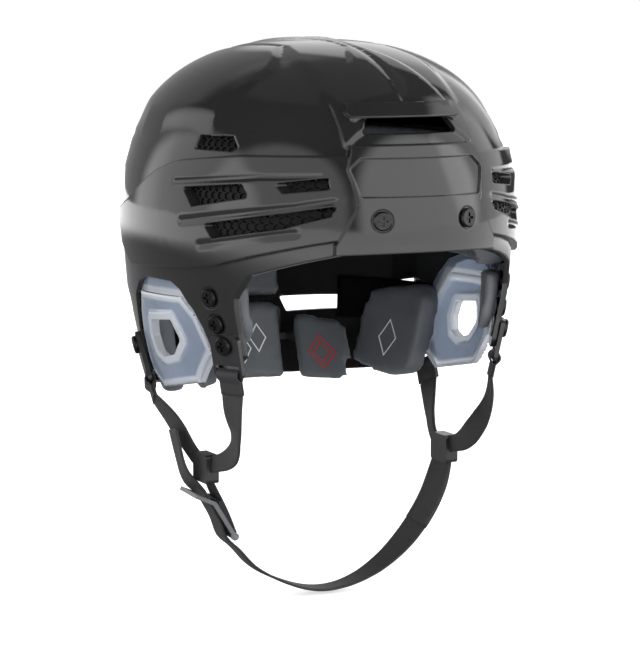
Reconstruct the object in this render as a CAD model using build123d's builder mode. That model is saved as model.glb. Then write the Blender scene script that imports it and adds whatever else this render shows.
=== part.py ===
"""Ice hockey helmet: a one-piece shell, its liner, ear guards, fit dial and chin strap.

Lengths are millimetres. +Z is up, the wearer faces -Y and the wearer's left is +X. The origin is the
centre of the head opening, at the height of the brow. Tables of places are shares of half_width
along X, half_length along Y and crown_height along Z.
"""

import math
import os
from functools import cache

from build123d import *

os.makedirs("parts", exist_ok=True)

# Shell form
half_width = 105.0
half_length = 135.0
crown_height = 102.0
crown_power = 2.5
skirt_depth = 95.0
skirt_taper_share = 0.15
skirt_power = 1.8
skirt_reach = 112.0
shell_wall = 3.2
band_rise = 3.2
boss_rise = 4.2
crest_rise = 3.2
panel_rise = 1.6
badge_depth = 1.0
edge_corner = 2.5
panel_corner = 2.0
vent_corner = 1.2
dome_sides = 48
skirt_level_shares = (1.0, 0.67, 0.33)
crown_levels = 10
crown_top_share = 0.9985
slope_step = 0.5
overrun = 40.0

# Fasteners
screw_radius = 2.5
screw_head_radius = 5.2
screw_head_height = 2.4
screw_head_corner = 0.8
screw_recess = 1.0
recess_margin = 0.9
anchor_recess = 0.6
cross_length = 5.6
cross_width = 1.3
cross_depth = 1.2
thread_clearance = 0.05
nut_barrel_radius = 3.4
nut_flange_radius = 5.4
nut_flange_height = 1.5
barrel_clearance = 0.1
seat_trim = 0.35
pocket_margin = 1.0
pocket_depth = 5.0
cage_screw_spacing = 50.4
cage_screw_height = 12.7
visor_screw_places = ((-59.8, -32.3), (-61.7, -46.9))
front_anchor_place = (-66.0, -57.5)
rear_anchor_place = (43.0, -70.0)
rear_hanger_turn = 27.0

# Liner
liner_depth = 19.5
temple_liner_depth = 13.5
ear_pad_start = 5.5
rear_pad_start = 27.0
rear_pad_depth = 34.0
pad_corner = 4.0
crown_pad_height = 40.0
channel_width = 6.0
channel_depth = 4.0
pad_gap = 3.0

# Ear guards
guard_depth = 5.5
guard_face = 0.4
guard_corner = 3.0
guard_rim = 3.6
clip_size = 3.0
clip_spacing = 9.0

# Strap webbing, hangers, sliders
strap_width = 15.0
strap_thickness = 1.5
strap_clearance = 0.25
hanger_width = 20.0
hanger_top = 5.0
hanger_clearance = 0.4
hanger_thickness = 2.4
hanger_corner = 2.5
bar_height = 3.0
bar_slot_height = 4.2
bar_slot_width = 16.6
front_bar_drop = 17.0
rear_bar_drop = 24.0
loop_hole_radius = 2.1
loop_wall = 1.3
loop_tail = 8.0
loop_lap = 1.0
strap_lean_share = 0.1
slider_length = 19.0
slider_thickness = 7.6
slider_height = 16.0
slider_corner = 2.0
strap_steps = 14
chin_strap_steps = 20
buckle_strap_steps = 4
strap_folds = (1.0, 1.0, 1.0, 0.7, 0.55, 0.7, 1.0, 1.0)

# Chin buckle
buckle_width = 17.0
buckle_thickness = 3.0
buckle_corner = 1.2
buckle_length = 25.0
buckle_setback = 2.4
tab_pin_setback = 0.5
tab_width = 21.4
tab_slot_start = -4.0
tab_slot_length = 33.5
tab_clearance = 0.4
tab_path = ((23.4, 6.3), (32.8, 15.0))
pin_radius = 1.2
pin_clearance = 0.05
tab_rail = 1.8
tab_thickness = 2.2

# Fit dial
dial_height = 72.0
knob_radius = 17.0
knob_height = 9.0
knob_gap = 0.4
knob_corner = 1.0
flute_radius = 2.6
flute_count = 12
housing_radius = 21.0
housing_height = 6.0
housing_corner = 1.5
shaft_radius = 3.0
shaft_hole_radius = 5.0
spigot_radius = 1.9
running_clearance = 0.05
gear_module = 0.8
pinion_teeth = 12
tooth_share = 0.42
tip_share = 0.22
addendum_share = 0.75
dedendum_share = 1.15
gear_width = 3.0
plate_width = 54.0
plate_height = 22.0
plate_thickness = 2.0
plate_corner = 4.0
plate_place = 104.5
gear_place = 104.2
plate_boss_radius = 5.0
plate_boss_spacing = 44.0
plate_screw_radius = 1.5
plate_screw_head_radius = 2.9
plate_screw_head_height = 1.4
plate_screw_length = 7.0
rack_height = 5.0
rack_teeth_reach = 10.0
rack_tooth_pairs = 4
rack_outer_end = 36.0
rack_foot = 7.0
post_radius = 2.5
post_spacing = 28.0

# Outlines seen from the side, as shares of half_length and crown_height
lower_edge_shares = [
    (-1.06, -0.039), (-0.896, -0.059), (-0.822, -0.093), (-0.696, -0.152), (-0.622, -0.186),
    (-0.559, -0.304), (-0.548, -0.5), (-0.544, -0.627), (-0.511, -0.667), (-0.444, -0.667),
    (-0.407, -0.618), (-0.378, -0.495), (-0.339, -0.392), (-0.267, -0.294), (-0.207, -0.255),
    (0.015, -0.255), (0.104, -0.294), (0.17, -0.373), (0.244, -0.569), (0.244, -0.745),
    (0.23, -0.824), (0.296, -0.882), (0.489, -0.951), (0.741, -1.0), (1.06, -1.02),
    (1.06, -1.3), (-1.06, -1.3),
]
band_shares = [
    (-0.933, 0.451), (-0.578, 0.441), (-0.262, 0.397), (-0.133, 0.34), (0.139, 0.157),
    (0.296, 0.088), (0.267, -0.098), (0.133, -0.206), (-0.33, -0.162), (-0.504, -0.137),
    (-0.759, -0.041), (-0.929, 0.025), (-1.1, 0.029), (-1.1, 0.451),
]
upper_slot_shares = [(-0.333, 0.262), (-0.396, 0.163), (-0.657, 0.23), (-0.622, 0.3)]
front_slot_shares = [(-0.739, 0.308), (-0.77, 0.258), (-0.893, 0.284), (-0.881, 0.344)]
lower_slot_shares = [
    (-0.464, 0.079), (-0.505, 0.005), (-0.785, 0.078), (-0.908, 0.147), (-0.919, 0.201),
    (-0.8, 0.162),
]
crown_vent_shares = [(-0.321, 0.46), (-0.323, 0.523), (-0.499, 0.528), (-0.541, 0.475), (-0.519, 0.458)]
guard_shares = [
    (-0.248, -0.335), (-0.335, -0.43), (-0.388, -0.62), (-0.267, -0.804),
    (0.089, -0.892), (0.185, -0.824), (0.222, -0.6), (0.18, -0.46), (0.13, -0.353),
]
guard_hole_shares = [
    (0.037, -0.5), (-0.163, -0.471), (-0.21, -0.578), (-0.141, -0.667), (-0.037, -0.699),
    (0.027, -0.671), (0.052, -0.588),
]
guard_flange_shares = [
    (-0.28, -0.235), (0.03, -0.225), (0.13, -0.27), (0.2, -0.36), (0.27, -0.56), (0.27, -0.66),
    (0.185, -0.824), (0.089, -0.892), (-0.267, -0.804), (-0.39, -0.62),
    (-0.39, -0.47), (-0.36, -0.36),
]
side_liner_shares = [(-0.83, -0.02), (-0.83, 0.5), (0.72, 0.5), (0.72, -0.3), (0.1, -0.21), (-0.5, -0.21)]
temple_pad_shares = [(-0.53, -0.245), (-0.53, -0.5), (-0.47, -0.59), (-0.42, -0.52), (-0.36, -0.38), (-0.31, -0.26)]
ear_pad_shares = [(0.2, -0.42), (0.46, -0.47), (0.5, -0.62), (0.5, -0.9), (0.3, -0.97), (0.16, -0.93), (0.14, -0.5)]

# Outlines seen from the front or behind, as shares of half_width and crown_height
boss_shares = [(0.448, -0.1), (0.448, 0.0), (0.343, 0.206), (0.381, 0.382), (0.343, 0.505)]
badge_shares = [(0.333, 0.245), (0.371, 0.387), (0.314, 0.441)]
front_vent_shares = [(0.271, 0.559), (0.229, 0.639)]
vent_lip_shares = [(0.3, 0.645), (0.33, 0.66), (0.29, 0.72)]
front_liner_shares = [(0.42, -0.015), (0.44, 0.3), (0.4, 0.5)]
upper_rear_pad_shares = [(0.25, -0.54), (0.25, 0.3), (0.22, 0.42)]
centre_rear_pad_shares = [(0.19, -1.0), (0.19, -0.56)]
rear_pad_shares = [(0.257, -0.627), (0.467, -0.647), (0.486, -0.824), (0.438, -1.0), (0.257, -1.01)]
rear_panel_shares = [(0.3, -0.42), (0.52, -0.1), (0.42, 0.42), (0.3, 0.56)]
rear_vent_shares = [(0.1, 0.05), (0.38, 0.1), (0.34, 0.2), (0.1, 0.15)]
upper_rear_vent_shares = [(0.1, 0.28), (0.32, 0.33), (0.28, 0.43), (0.1, 0.38)]
rear_slot_shares = [(0.3, -0.56), (0.33, -0.65), (0.62, -0.62), (0.86, -0.5), (0.88, -0.4), (0.6, -0.54)]

# Outlines seen from above, as shares of half_width and half_length
crest_shares = [(0.314, -0.83), (0.057, -0.356), (0.048, -0.222), (0.229, 0.444), (0.2, 0.7)]
outer_crest_shares = [(0.362, -0.859), (0.362, -0.385), (0.295, -0.207), (0.343, 0.296), (0.3, 0.74)]
crown_panel_shares = [
    (0.3, -0.17), (0.486, -0.4), (0.59, -0.4), (0.8, -0.37), (0.886, -0.022), (0.876, 0.2),
    (0.743, 0.459), (0.4, 0.341),
]
crown_liner_share = 0.52
crown_liner_length_share = 0.56
channel_shares = (-0.24, 0.0, 0.24)

# Places on the straps, as shares of half_width, half_length and crown_height
side_strap_shares = [(0.755, -0.47, -0.95), (0.705, -0.4, -1.15), (0.715, -0.2, -1.27),
                     (0.722, -0.04, -1.27), (0.77, 0.08, -1.12)]
slider_shares = (0.718, -0.126, -1.304)
chin_strap_shares = [
    (-0.815, 0.044, -1.118), (-0.798, 0.004, -1.275), (-0.779, -0.048, -1.382), (-0.709, -0.081, -1.471),
    (-0.686, -0.081, -1.52), (-0.629, -0.074, -1.627), (-0.598, -0.074, -1.711), (-0.533, -0.074, -1.775),
    (-0.45, -0.07, -1.868), (-0.267, -0.072, -1.99), (-0.019, -0.074, -2.065), (0.2, -0.08, -2.029),
    (0.41, -0.089, -1.902), (0.571, -0.1, -1.721), (0.67, -0.111, -1.529), (0.718, -0.119, -1.343),
]
chin_strap_facing_shares = [
    (-1, 0.1, -0.1), (-1, 0.1, -0.2), (-1, 0, -0.3), (-1, 0, -0.45), (-1, 0, -0.45), (-1, 0, -0.45),
    (-1, 0, -0.6), (-0.8, 0, -0.8), (-0.6, 0, -1), (-0.3, 0, -1), (0, 0, -1), (0.4, 0, -1),
    (0.7, 0, -0.8), (1, 0, -0.6), (1, 0, -0.3), (1, 0, 0),
]
buckle_strap_shares = [(-0.71, -0.111, -1.343), (-0.648, -0.089, -1.461), (-0.591, -0.081, -1.578),
                       (-0.548, -0.074, -1.681)]
buckle_facing_shares = [(-1, 0, -0.1), (-0.906, 0, -0.423), (-0.906, 0, -0.423)]


# Shapes that the pieces share
def crown_share(height):
    """Plan size of the dome at a height above the brow, as a share of its size at the brow."""
    return (1 - min(height / crown_height, 1) ** crown_power) ** (1 / crown_power)


def skirt_share(depth):
    """Plan size of the dome at a depth below the brow, as a share of its size at the brow."""
    return 1 - skirt_taper_share * (depth / skirt_depth) ** skirt_power


def plan_share(z):
    return crown_share(z) if z > 0 else skirt_share(-z)


def ring(long_way, wide_way, height):
    """Corners of a many-sided ellipse, level at the given height."""
    turns = [2 * math.pi * (side + 0.5) / dome_sides for side in range(dome_sides)]
    return [Vector(wide_way * math.cos(turn), long_way * math.sin(turn), height) for turn in turns]


@cache
def dome(depth):
    """Everything inside the helmet's plain outer face once that face is moved inwards by depth.

    The face is a grid of flat panels between level rings, which are close enough to read as round.
    """
    crown_scale = (crown_height - depth) / crown_height
    rises = [math.sin(math.pi / 2 * level / crown_levels) for level in range(crown_levels)] + [crown_top_share]
    levels = [(-drop * skirt_reach, skirt_share(drop * skirt_reach)) for drop in skirt_level_shares]
    levels += [(rise * crown_height * crown_scale, crown_share(rise * crown_height)) for rise in rises]
    rings = [ring((half_length - depth) * share, (half_width - depth) * share, height) for height, share in levels]
    faces = [Face(Wire.make_polygon(rings[0])), Face(Wire.make_polygon(rings[-1]))]
    for low, high in zip(rings, rings[1:]):
        for side in range(dome_sides):
            after = (side + 1) % dome_sides
            faces.append(Face(Wire.make_polygon([low[side], low[after], high[after], high[side]])))
    with BuildPart() as body:
        add(Solid(Shell(faces)))
    return body.part


def outward(x, y, z, proud):
    """Unit normal of the dome's face, moved out by proud, at one of its points."""
    slope = (plan_share(z + slope_step) ** 2 - plan_share(z - slope_step) ** 2) / (2 * slope_step)
    return Vector(2 * x / (half_width + proud) ** 2, 2 * y / (half_length + proud) ** 2, -slope).normalized()


def side_spot(y, z, proud=0):
    """Plane on the left side of the helmet, facing outwards, with its x along the wall and level."""
    x = (half_width + proud) * math.sqrt(plan_share(z) ** 2 - (y / (half_length + proud)) ** 2)
    normal = outward(x, y, z, proud)
    return Plane(origin=(x, y, z), x_dir=Vector(0, 0, 1).cross(normal), z_dir=normal)


def front_spot(x, z, proud=0):
    """Plane on the front of the helmet, facing outwards."""
    y = -(half_length + proud) * math.sqrt(plan_share(z) ** 2 - (x / (half_width + proud)) ** 2)
    normal = outward(x, y, z, proud)
    return Plane(origin=(x, y, z), x_dir=Vector(0, 0, 1).cross(normal), z_dir=normal)


def turned(spot, degrees):
    """The same plane, turned about its own normal."""
    turn = math.radians(degrees)
    x_dir = spot.x_dir * math.cos(turn) + spot.y_dir * math.sin(turn)
    return Plane(origin=spot.origin, x_dir=x_dir, z_dir=spot.z_dir)


def place(shares):
    x, y, z = shares
    return Vector(x * half_width, y * half_length, z * crown_height)


def from_side(shares):
    return [(y * half_length, z * crown_height) for y, z in shares]


def from_behind(shares):
    return [(x * half_width, z * crown_height) for x, z in shares]


def from_front(shares):
    """A half outline from its lowest right corner round to its highest, closed by its mirror image."""
    right = from_behind(shares)
    return right + [(-x, z) for x, z in reversed(right)]


def from_above(shares):
    right = [(x * half_width, y * half_length) for x, y in shares]
    return right + [(-x, y) for x, y in reversed(right)]


def prism(plane, points, reach, corner=0, both=False, margin=0):
    """A straight block with the given outline, its corners rounded and its sides moved out by margin."""
    with BuildPart() as block:
        with BuildSketch(plane) as face:
            with BuildLine():
                Polyline(*points, close=True)
            make_face()
            if corner:
                fillet(face.vertices(), corner)
            if margin:
                offset(amount=margin)
        extrude(amount=reach, both=both)
    return block.part


def mirrored(part):
    with BuildPart() as other:
        add(part)
        mirror(about=Plane.YZ, mode=Mode.REPLACE)
    return other.part


def both_sides(part):
    with BuildPart() as pair:
        add(part)
        add(mirrored(part))
    return pair.part


def write(part, name):
    part.label = name
    export_step(part, f"parts/{name}.step")


def write_pair(part, name):
    """The left piece as made, and its mirror image for the right."""
    write(part, f"left_{name}")
    write(mirrored(part), f"right_{name}")


reach_x = half_width + overrun
reach_y = half_length + overrun
reach_z = crown_height + overrun
front_plane = Plane(origin=(0, 0, 0), x_dir=(1, 0, 0), z_dir=(0, -1, 0))
rear_plane = Plane(origin=(0, 0, 0), x_dir=(-1, 0, 0), z_dir=(0, 1, 0))
cage_spots = [front_spot(s * cage_screw_spacing / 2, cage_screw_height, boss_rise) for s in (-1, 1)]
visor_spots = [side_spot(y, z) for y, z in visor_screw_places]
front_anchor = side_spot(*front_anchor_place)
rear_anchor = turned(side_spot(*rear_anchor_place), -rear_hanger_turn)
hangers = [(front_anchor, front_bar_drop), (rear_anchor, rear_bar_drop)]
boss_wall = shell_wall + boss_rise
hanger_seat = hanger_thickness - anchor_recess


# Shell
def raised(plane, points, rise, reach, both=False):
    """A raised area of the shell: the part of a larger dome that lies within an outline."""
    with BuildPart() as area:
        add(dome(-rise), clean=False)
        add(prism(plane, points, reach, panel_corner, both), mode=Mode.INTERSECT, clean=False)
    return area.part


def screw_passage(spot, wall, recess, recess_radius):
    """Everything that one screw and its nut need cut out of the wall."""
    with BuildPart() as passage:
        with BuildSketch(spot.offset(-recess)):
            Circle(recess_radius)
        extrude(amount=overrun)
        with BuildSketch(spot.offset(-wall - nut_flange_height)):
            Circle(nut_barrel_radius + barrel_clearance)
        extrude(amount=overrun)
        with BuildSketch(spot.offset(seat_trim - wall)):
            Circle(nut_flange_radius + recess_margin)
        extrude(amount=-nut_flange_height - recess_margin)
    return passage.part


def make_shell_form():
    """The dome with every raised area, still solid."""
    crown_panel = [(x * half_width, y * half_length) for x, y in crown_panel_shares]
    side_panel = raised(Plane.XY, crown_panel, panel_rise, reach_z)
    areas = [
        dome(0),
        raised(Plane.YZ, from_side(band_shares), band_rise, reach_x, both=True),
        raised(front_plane, from_front(boss_shares), boss_rise, reach_y),
        raised(front_plane, from_front(vent_lip_shares), boss_rise, reach_y),
        raised(rear_plane, from_front(rear_panel_shares), panel_rise, reach_y),
        raised(Plane.XY, from_above(outer_crest_shares), panel_rise, reach_z),
        raised(Plane.XY, from_above(crest_shares), crest_rise, reach_z),
        side_panel,
        mirrored(side_panel),
    ]
    with BuildPart() as form:
        add(areas, clean=False)
    return form.part


def shell_openings():
    """The blocks that cut every vent and slot of the shell."""
    side_views = (upper_slot_shares, front_slot_shares, lower_slot_shares, crown_vent_shares)
    blocks = [prism(Plane.YZ, from_side(shares), reach_x, vent_corner, both=True) for shares in side_views]
    blocks.append(prism(front_plane, from_front(front_vent_shares), reach_y, vent_corner))
    for shares in (rear_vent_shares, upper_rear_vent_shares, rear_slot_shares):
        block = prism(rear_plane, from_behind(shares), reach_y, vent_corner)
        blocks += [block, mirrored(block)]
    return blocks


def hanger_seat_block(spot, drop):
    """Room for a hanger in what it lies flat against."""
    height = hanger_top + drop + bar_height
    with BuildPart() as block:
        with BuildSketch(spot.offset(-anchor_recess)):
            with Locations((0, hanger_top + hanger_clearance - height / 2)):
                Rectangle(hanger_width + 2 * hanger_clearance, height)
        extrude(amount=pocket_depth)
    return block.part


def shell_passages():
    """Everything that the screws and the fit dial need cut out of the shell."""
    recess_radius = screw_head_radius + recess_margin
    passages = [screw_passage(spot, boss_wall, screw_recess, recess_radius) for spot in cage_spots]
    sides = [screw_passage(spot, shell_wall, screw_recess, recess_radius) for spot in visor_spots]
    for spot, drop in hangers:
        sides += [screw_passage(spot, shell_wall, anchor_recess, nut_flange_radius), hanger_seat_block(spot, drop)]
    for passage in sides:
        passages += [passage, mirrored(passage)]
    with BuildPart() as dial_holes:
        with BuildSketch(Plane(origin=(0, plate_place, -dial_height), x_dir=(-1, 0, 0), z_dir=(0, 1, 0))):
            Circle(shaft_hole_radius)
            with Locations((-plate_boss_spacing / 2, 0), (plate_boss_spacing / 2, 0)):
                Circle(plate_screw_radius)
        extrude(amount=half_length)
    return passages + [dial_holes.part]


def make_outer_shell():
    with BuildPart() as badge:
        add(prism(front_plane, from_front(badge_shares), reach_y, panel_corner))
        add(dome(badge_depth - boss_rise), mode=Mode.SUBTRACT, clean=False)
    edge = prism(Plane.YZ, from_side(lower_edge_shares), reach_x, edge_corner, both=True)
    cutters = [dome(shell_wall), edge, badge.part, *shell_openings(), *shell_passages()]
    with BuildPart() as outer_shell:
        add(make_shell_form(), clean=False)
        add(cutters, mode=Mode.SUBTRACT, clean=False)
    return outer_shell.part


# Screws and their nuts
def make_screw(spot, seat, length):
    """Pan-head screw with a cross slot; its seat is measured outwards from the spot."""
    with BuildPart() as screw:
        with BuildSketch(spot.offset(seat - length)):
            Circle(screw_radius)
        extrude(amount=length)
        with BuildSketch(spot.offset(seat)):
            Circle(screw_head_radius)
        extrude(amount=screw_head_height)
        top = screw.faces().sort_by(Axis(spot.origin, spot.z_dir))[-1]
        chamfer(top.edges(), screw_head_corner)
        with BuildSketch(spot.offset(seat + screw_head_height)):
            Rectangle(cross_length, cross_width)
            Rectangle(cross_width, cross_length)
        extrude(amount=-cross_depth, mode=Mode.SUBTRACT)
    return screw.part


def make_tee_nut(spot, wall, recess):
    """Round-flanged nut that fills the hole in the wall from the inside."""
    barrel = wall - seat_trim - recess - seat_trim
    with BuildPart() as nut:
        with BuildSketch(spot.offset(seat_trim - wall)):
            Circle(nut_flange_radius)
        extrude(amount=-nut_flange_height)
        with BuildSketch(spot.offset(seat_trim - wall)):
            Circle(nut_barrel_radius)
        extrude(amount=barrel)
        with BuildSketch(spot.offset(-wall - nut_flange_height)):
            Circle(screw_radius + thread_clearance)
        extrude(amount=overrun, mode=Mode.SUBTRACT)
    return nut.part


def write_fasteners():
    nut_face = nut_flange_height - seat_trim
    with BuildPart() as front_cage_screws:
        for spot in cage_spots:
            add(make_screw(spot, -screw_recess, boss_wall + nut_face - screw_recess))
    write(front_cage_screws.part, "front_cage_screws")
    with BuildPart() as front_tee_nuts:
        for spot in cage_spots:
            add(make_tee_nut(spot, boss_wall, screw_recess))
    write(front_tee_nuts.part, "front_tee_nuts")
    with BuildPart() as visor_screws:
        for spot in visor_spots:
            add(both_sides(make_screw(spot, -screw_recess, shell_wall + nut_face - screw_recess)))
    write(visor_screws.part, "visor_screws")
    with BuildPart() as visor_tee_nuts:
        for spot in visor_spots:
            add(both_sides(make_tee_nut(spot, shell_wall, screw_recess)))
    write(visor_tee_nuts.part, "visor_tee_nuts")
    with BuildPart() as strap_anchor_screws:
        for spot in (front_anchor, rear_anchor):
            add(both_sides(make_screw(spot, hanger_seat, hanger_seat + shell_wall + nut_face)))
    write(strap_anchor_screws.part, "strap_anchor_screws")
    with BuildPart() as strap_anchor_nuts:
        for spot in (front_anchor, rear_anchor):
            add(both_sides(make_tee_nut(spot, shell_wall, anchor_recess)))
    write(strap_anchor_nuts.part, "strap_anchor_nuts")


# Liner
def make_pad(outer_depth, inner_depth, block):
    """The part of a layer of the dome that lies within a block."""
    with BuildPart() as pad:
        add(dome(outer_depth), clean=False)
        add(block, mode=Mode.INTERSECT, clean=False)
        add(dome(inner_depth), mode=Mode.SUBTRACT, clean=False)
    return pad.part


def nut_pocket(spot, wall):
    """Clearance that a pad leaves around one nut."""
    with BuildPart() as pocket:
        with BuildSketch(spot.offset(-wall)):
            Circle(nut_flange_radius + pocket_margin)
        extrude(amount=pocket_depth, both=True)
    return pocket.part


def write_liner():
    with BuildPart() as front_liner_pad:
        add(make_pad(shell_wall, liner_depth,
                     prism(front_plane, from_front(front_liner_shares), reach_y, pad_corner)))
        for spot in cage_spots:
            add(nut_pocket(spot, boss_wall), mode=Mode.SUBTRACT)
    write(front_liner_pad.part, "front_liner_pad")
    side_block = prism(Plane.YZ, from_side(side_liner_shares), reach_x, pad_corner)
    with BuildPart() as left_side_liner_pad:
        add(make_pad(shell_wall, liner_depth, side_block))
        add(prism(front_plane, from_front(front_liner_shares), reach_y, pad_corner, margin=pad_gap),
            mode=Mode.SUBTRACT)
        add(prism(rear_plane, from_front(upper_rear_pad_shares), reach_y, pad_corner, margin=pad_gap),
            mode=Mode.SUBTRACT)
    write_pair(left_side_liner_pad.part, "side_liner_pad")
    with BuildPart() as upper_rear_pad:
        add(make_pad(shell_wall, liner_depth,
                     prism(rear_plane, from_front(upper_rear_pad_shares), reach_y, pad_corner)))
    write(upper_rear_pad.part, "upper_rear_pad")
    with BuildPart() as crown_block:
        with BuildSketch(Plane.XY.offset(crown_pad_height)):
            Ellipse(half_width * crown_liner_share, half_length * crown_liner_length_share)
        extrude(amount=reach_z)
    with BuildPart() as crown_liner_pad:
        add(make_pad(shell_wall, liner_depth, crown_block.part))
        with BuildSketch(Plane.XY.offset(crown_height - liner_depth - channel_depth)):
            with Locations(*[(share * half_width, 0) for share in channel_shares]):
                Rectangle(channel_width, half_length * 2)
        extrude(amount=2 * channel_depth, mode=Mode.SUBTRACT)
    write(crown_liner_pad.part, "crown_liner_pad")
    temple_block = prism(Plane.YZ, from_side(temple_pad_shares), reach_x, pad_corner / 2)
    write_pair(make_pad(ear_pad_start, temple_liner_depth, temple_block), "temple_pad")
    ear_block = prism(Plane.YZ, from_side(ear_pad_shares), reach_x, pad_corner)
    with BuildPart() as left_ear_pad:
        add(make_pad(ear_pad_start, liner_depth, ear_block))
        add(nut_pocket(rear_anchor, shell_wall), mode=Mode.SUBTRACT)
    write_pair(left_ear_pad.part, "ear_pad")
    centre_block = prism(rear_plane, from_front(centre_rear_pad_shares), reach_y, pad_corner)
    write(make_pad(rear_pad_start, rear_pad_depth, centre_block), "centre_rear_pad")
    wing_block = prism(rear_plane, [(-x, z) for x, z in from_behind(rear_pad_shares)], reach_y, pad_corner)
    write_pair(make_pad(rear_pad_start, rear_pad_depth, wing_block), "rear_pad")


# Ear guards
def write_ear_guards():
    hole = from_side(guard_hole_shares)
    layers = [(shell_wall, from_side(guard_flange_shares), 0), (guard_face, from_side(guard_shares), 0),
              (0, hole, guard_rim)]
    with BuildPart() as left_ear_guard:
        for depth, points, margin in layers:
            with BuildPart(mode=Mode.PRIVATE) as layer:
                add(dome(depth))
                add(prism(Plane.YZ, points, reach_x, guard_corner, margin=margin), mode=Mode.INTERSECT, clean=False)
            add(layer.part, clean=False)
        cutters = [dome(guard_depth), prism(Plane.YZ, hole, reach_x, guard_corner),
                   hanger_seat_block(rear_anchor, rear_bar_drop)]
        add(cutters, mode=Mode.SUBTRACT, clean=False)
    write_pair(left_ear_guard.part, "ear_guard")


# Strap hangers and webbing
def make_hanger(spot, drop):
    """Flat plate under an anchor screw, ending in a bar for the strap's loop."""
    height = hanger_top + drop + bar_height / 2
    with BuildPart() as hanger:
        with BuildSketch(spot.offset(-anchor_recess)) as face:
            with Locations((0, hanger_top - height / 2)):
                RectangleRounded(hanger_width, height, hanger_corner)
            with Locations((0, -drop + (bar_height + bar_slot_height) / 2)):
                Rectangle(bar_slot_width, bar_slot_height, mode=Mode.SUBTRACT)
            Circle(screw_radius + thread_clearance, mode=Mode.SUBTRACT)
        extrude(amount=hanger_thickness)
    return hanger.part


def strap_facing(facings, share):
    """The strap's facing at a share of its length, blended between the stated ones."""
    step = share * (len(facings) - 1)
    low = min(int(step), len(facings) - 2)
    return facings[low] * (low + 1 - step) + facings[low + 1] * (step - low)


def webbing(points, facings, steps, folds=(1.0, 1.0), clearance=0):
    """Flat strap along a smooth route, as a ruled loft of its cross-sections."""
    route = Edge.make_spline(points)
    with BuildPart() as strap:
        for step in range(steps + 1):
            share = step / steps
            along = route.tangent_at(share)
            across = strap_facing(facings, share).cross(along)
            fold = strap_facing([Vector(width, 0, 0) for width in folds], share).X
            with BuildSketch(Plane(origin=route.position_at(share), x_dir=across, z_dir=along)):
                Rectangle(strap_width * fold + 2 * clearance, strap_thickness * (2 - fold) + 2 * clearance)
        loft(ruled=True)
    return strap.part


def bar_centre(spot, drop):
    return spot.offset(hanger_thickness / 2 - anchor_recess).from_local_coords((0, -drop, 0))


def strap_end(spot, drop):
    """The lower end of the strap's sewn loop."""
    return bar_centre(spot, drop) - spot.y_dir * (loop_hole_radius + loop_wall + loop_tail)


def make_loop(spot, drop):
    """The strap's loop round the hanger's bar, sewn flat below it."""
    loop_radius = loop_hole_radius + loop_wall
    across = Plane(origin=bar_centre(spot, drop), x_dir=spot.y_dir, z_dir=spot.x_dir)
    with BuildPart() as loop:
        with BuildSketch(across):
            Circle(loop_radius)
            with Locations((-(loop_radius + loop_tail) / 2, 0)):
                Rectangle(loop_radius + loop_tail, 2 * loop_wall)
            Circle(loop_hole_radius, mode=Mode.SUBTRACT)
        extrude(amount=strap_width / 2, both=True)
    return loop.part


def side_route():
    """Points and facings of the strap between its two loops, which it starts inside."""
    front_end = strap_end(front_anchor, front_bar_drop)
    rear_end = strap_end(rear_anchor, rear_bar_drop)
    middle = [place(shares) for shares in side_strap_shares]
    points = [front_end + front_anchor.y_dir * loop_lap, *middle, rear_end + rear_anchor.y_dir * loop_lap]
    level = Vector(1, 0, strap_lean_share)
    return points, [front_anchor.z_dir, level, level, level, level, rear_anchor.z_dir]


def chin_route():
    return [place(shares) for shares in chin_strap_shares], [Vector(*f) for f in chin_strap_facing_shares]


def buckle_route():
    middle = [place(shares) for shares in buckle_strap_shares]
    return middle, [Vector(*f) for f in buckle_facing_shares]


def make_slider(other_route, other_steps):
    """Two-way slider that both legs of the side strap pass through."""
    side_points, side_facings = side_route()
    other_points, other_facings = other_route
    with BuildPart() as slider:
        with Locations(place(slider_shares)):
            Box(slider_thickness, slider_length, slider_height)
        fillet(slider.edges().filter_by(Axis.X), slider_corner)
        add(webbing(side_points, side_facings, strap_steps, strap_folds, strap_clearance), mode=Mode.SUBTRACT)
        add(webbing(other_points, other_facings, other_steps, clearance=strap_clearance), mode=Mode.SUBTRACT)
    return slider.part


def write_straps():
    for spot, drop, name in ((front_anchor, front_bar_drop, "front"), (rear_anchor, rear_bar_drop, "rear")):
        write_pair(make_hanger(spot, drop), f"{name}_strap_hanger")
    side_points, side_facings = side_route()
    with BuildPart() as left_side_strap:
        add(webbing(side_points, side_facings, strap_steps, strap_folds))
        add(make_loop(front_anchor, front_bar_drop))
        add(make_loop(rear_anchor, rear_bar_drop))
    write_pair(left_side_strap.part, "side_strap")
    write(webbing(*chin_route(), chin_strap_steps), "chin_strap")
    write(webbing(*buckle_route(), buckle_strap_steps), "buckle_strap")
    write(make_slider(chin_route(), chin_strap_steps), "left_strap_slider")
    points, facings = buckle_route()
    mirrored_route = [Vector(-p.X, p.Y, p.Z) for p in points], [Vector(-f.X, f.Y, f.Z) for f in facings]
    write(mirrored(make_slider(mirrored_route, buckle_strap_steps)), "right_strap_slider")


# Chin buckle
def buckle_frame():
    """Plane at the lower end of the buckle strap: x up the strap, z outwards from the cheek."""
    points, facings = buckle_route()
    up = (points[-2] - points[-1]).normalized()
    side = facings[-1].cross(up)
    return Plane(origin=points[-1], x_dir=up, z_dir=up.cross(side))


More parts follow.
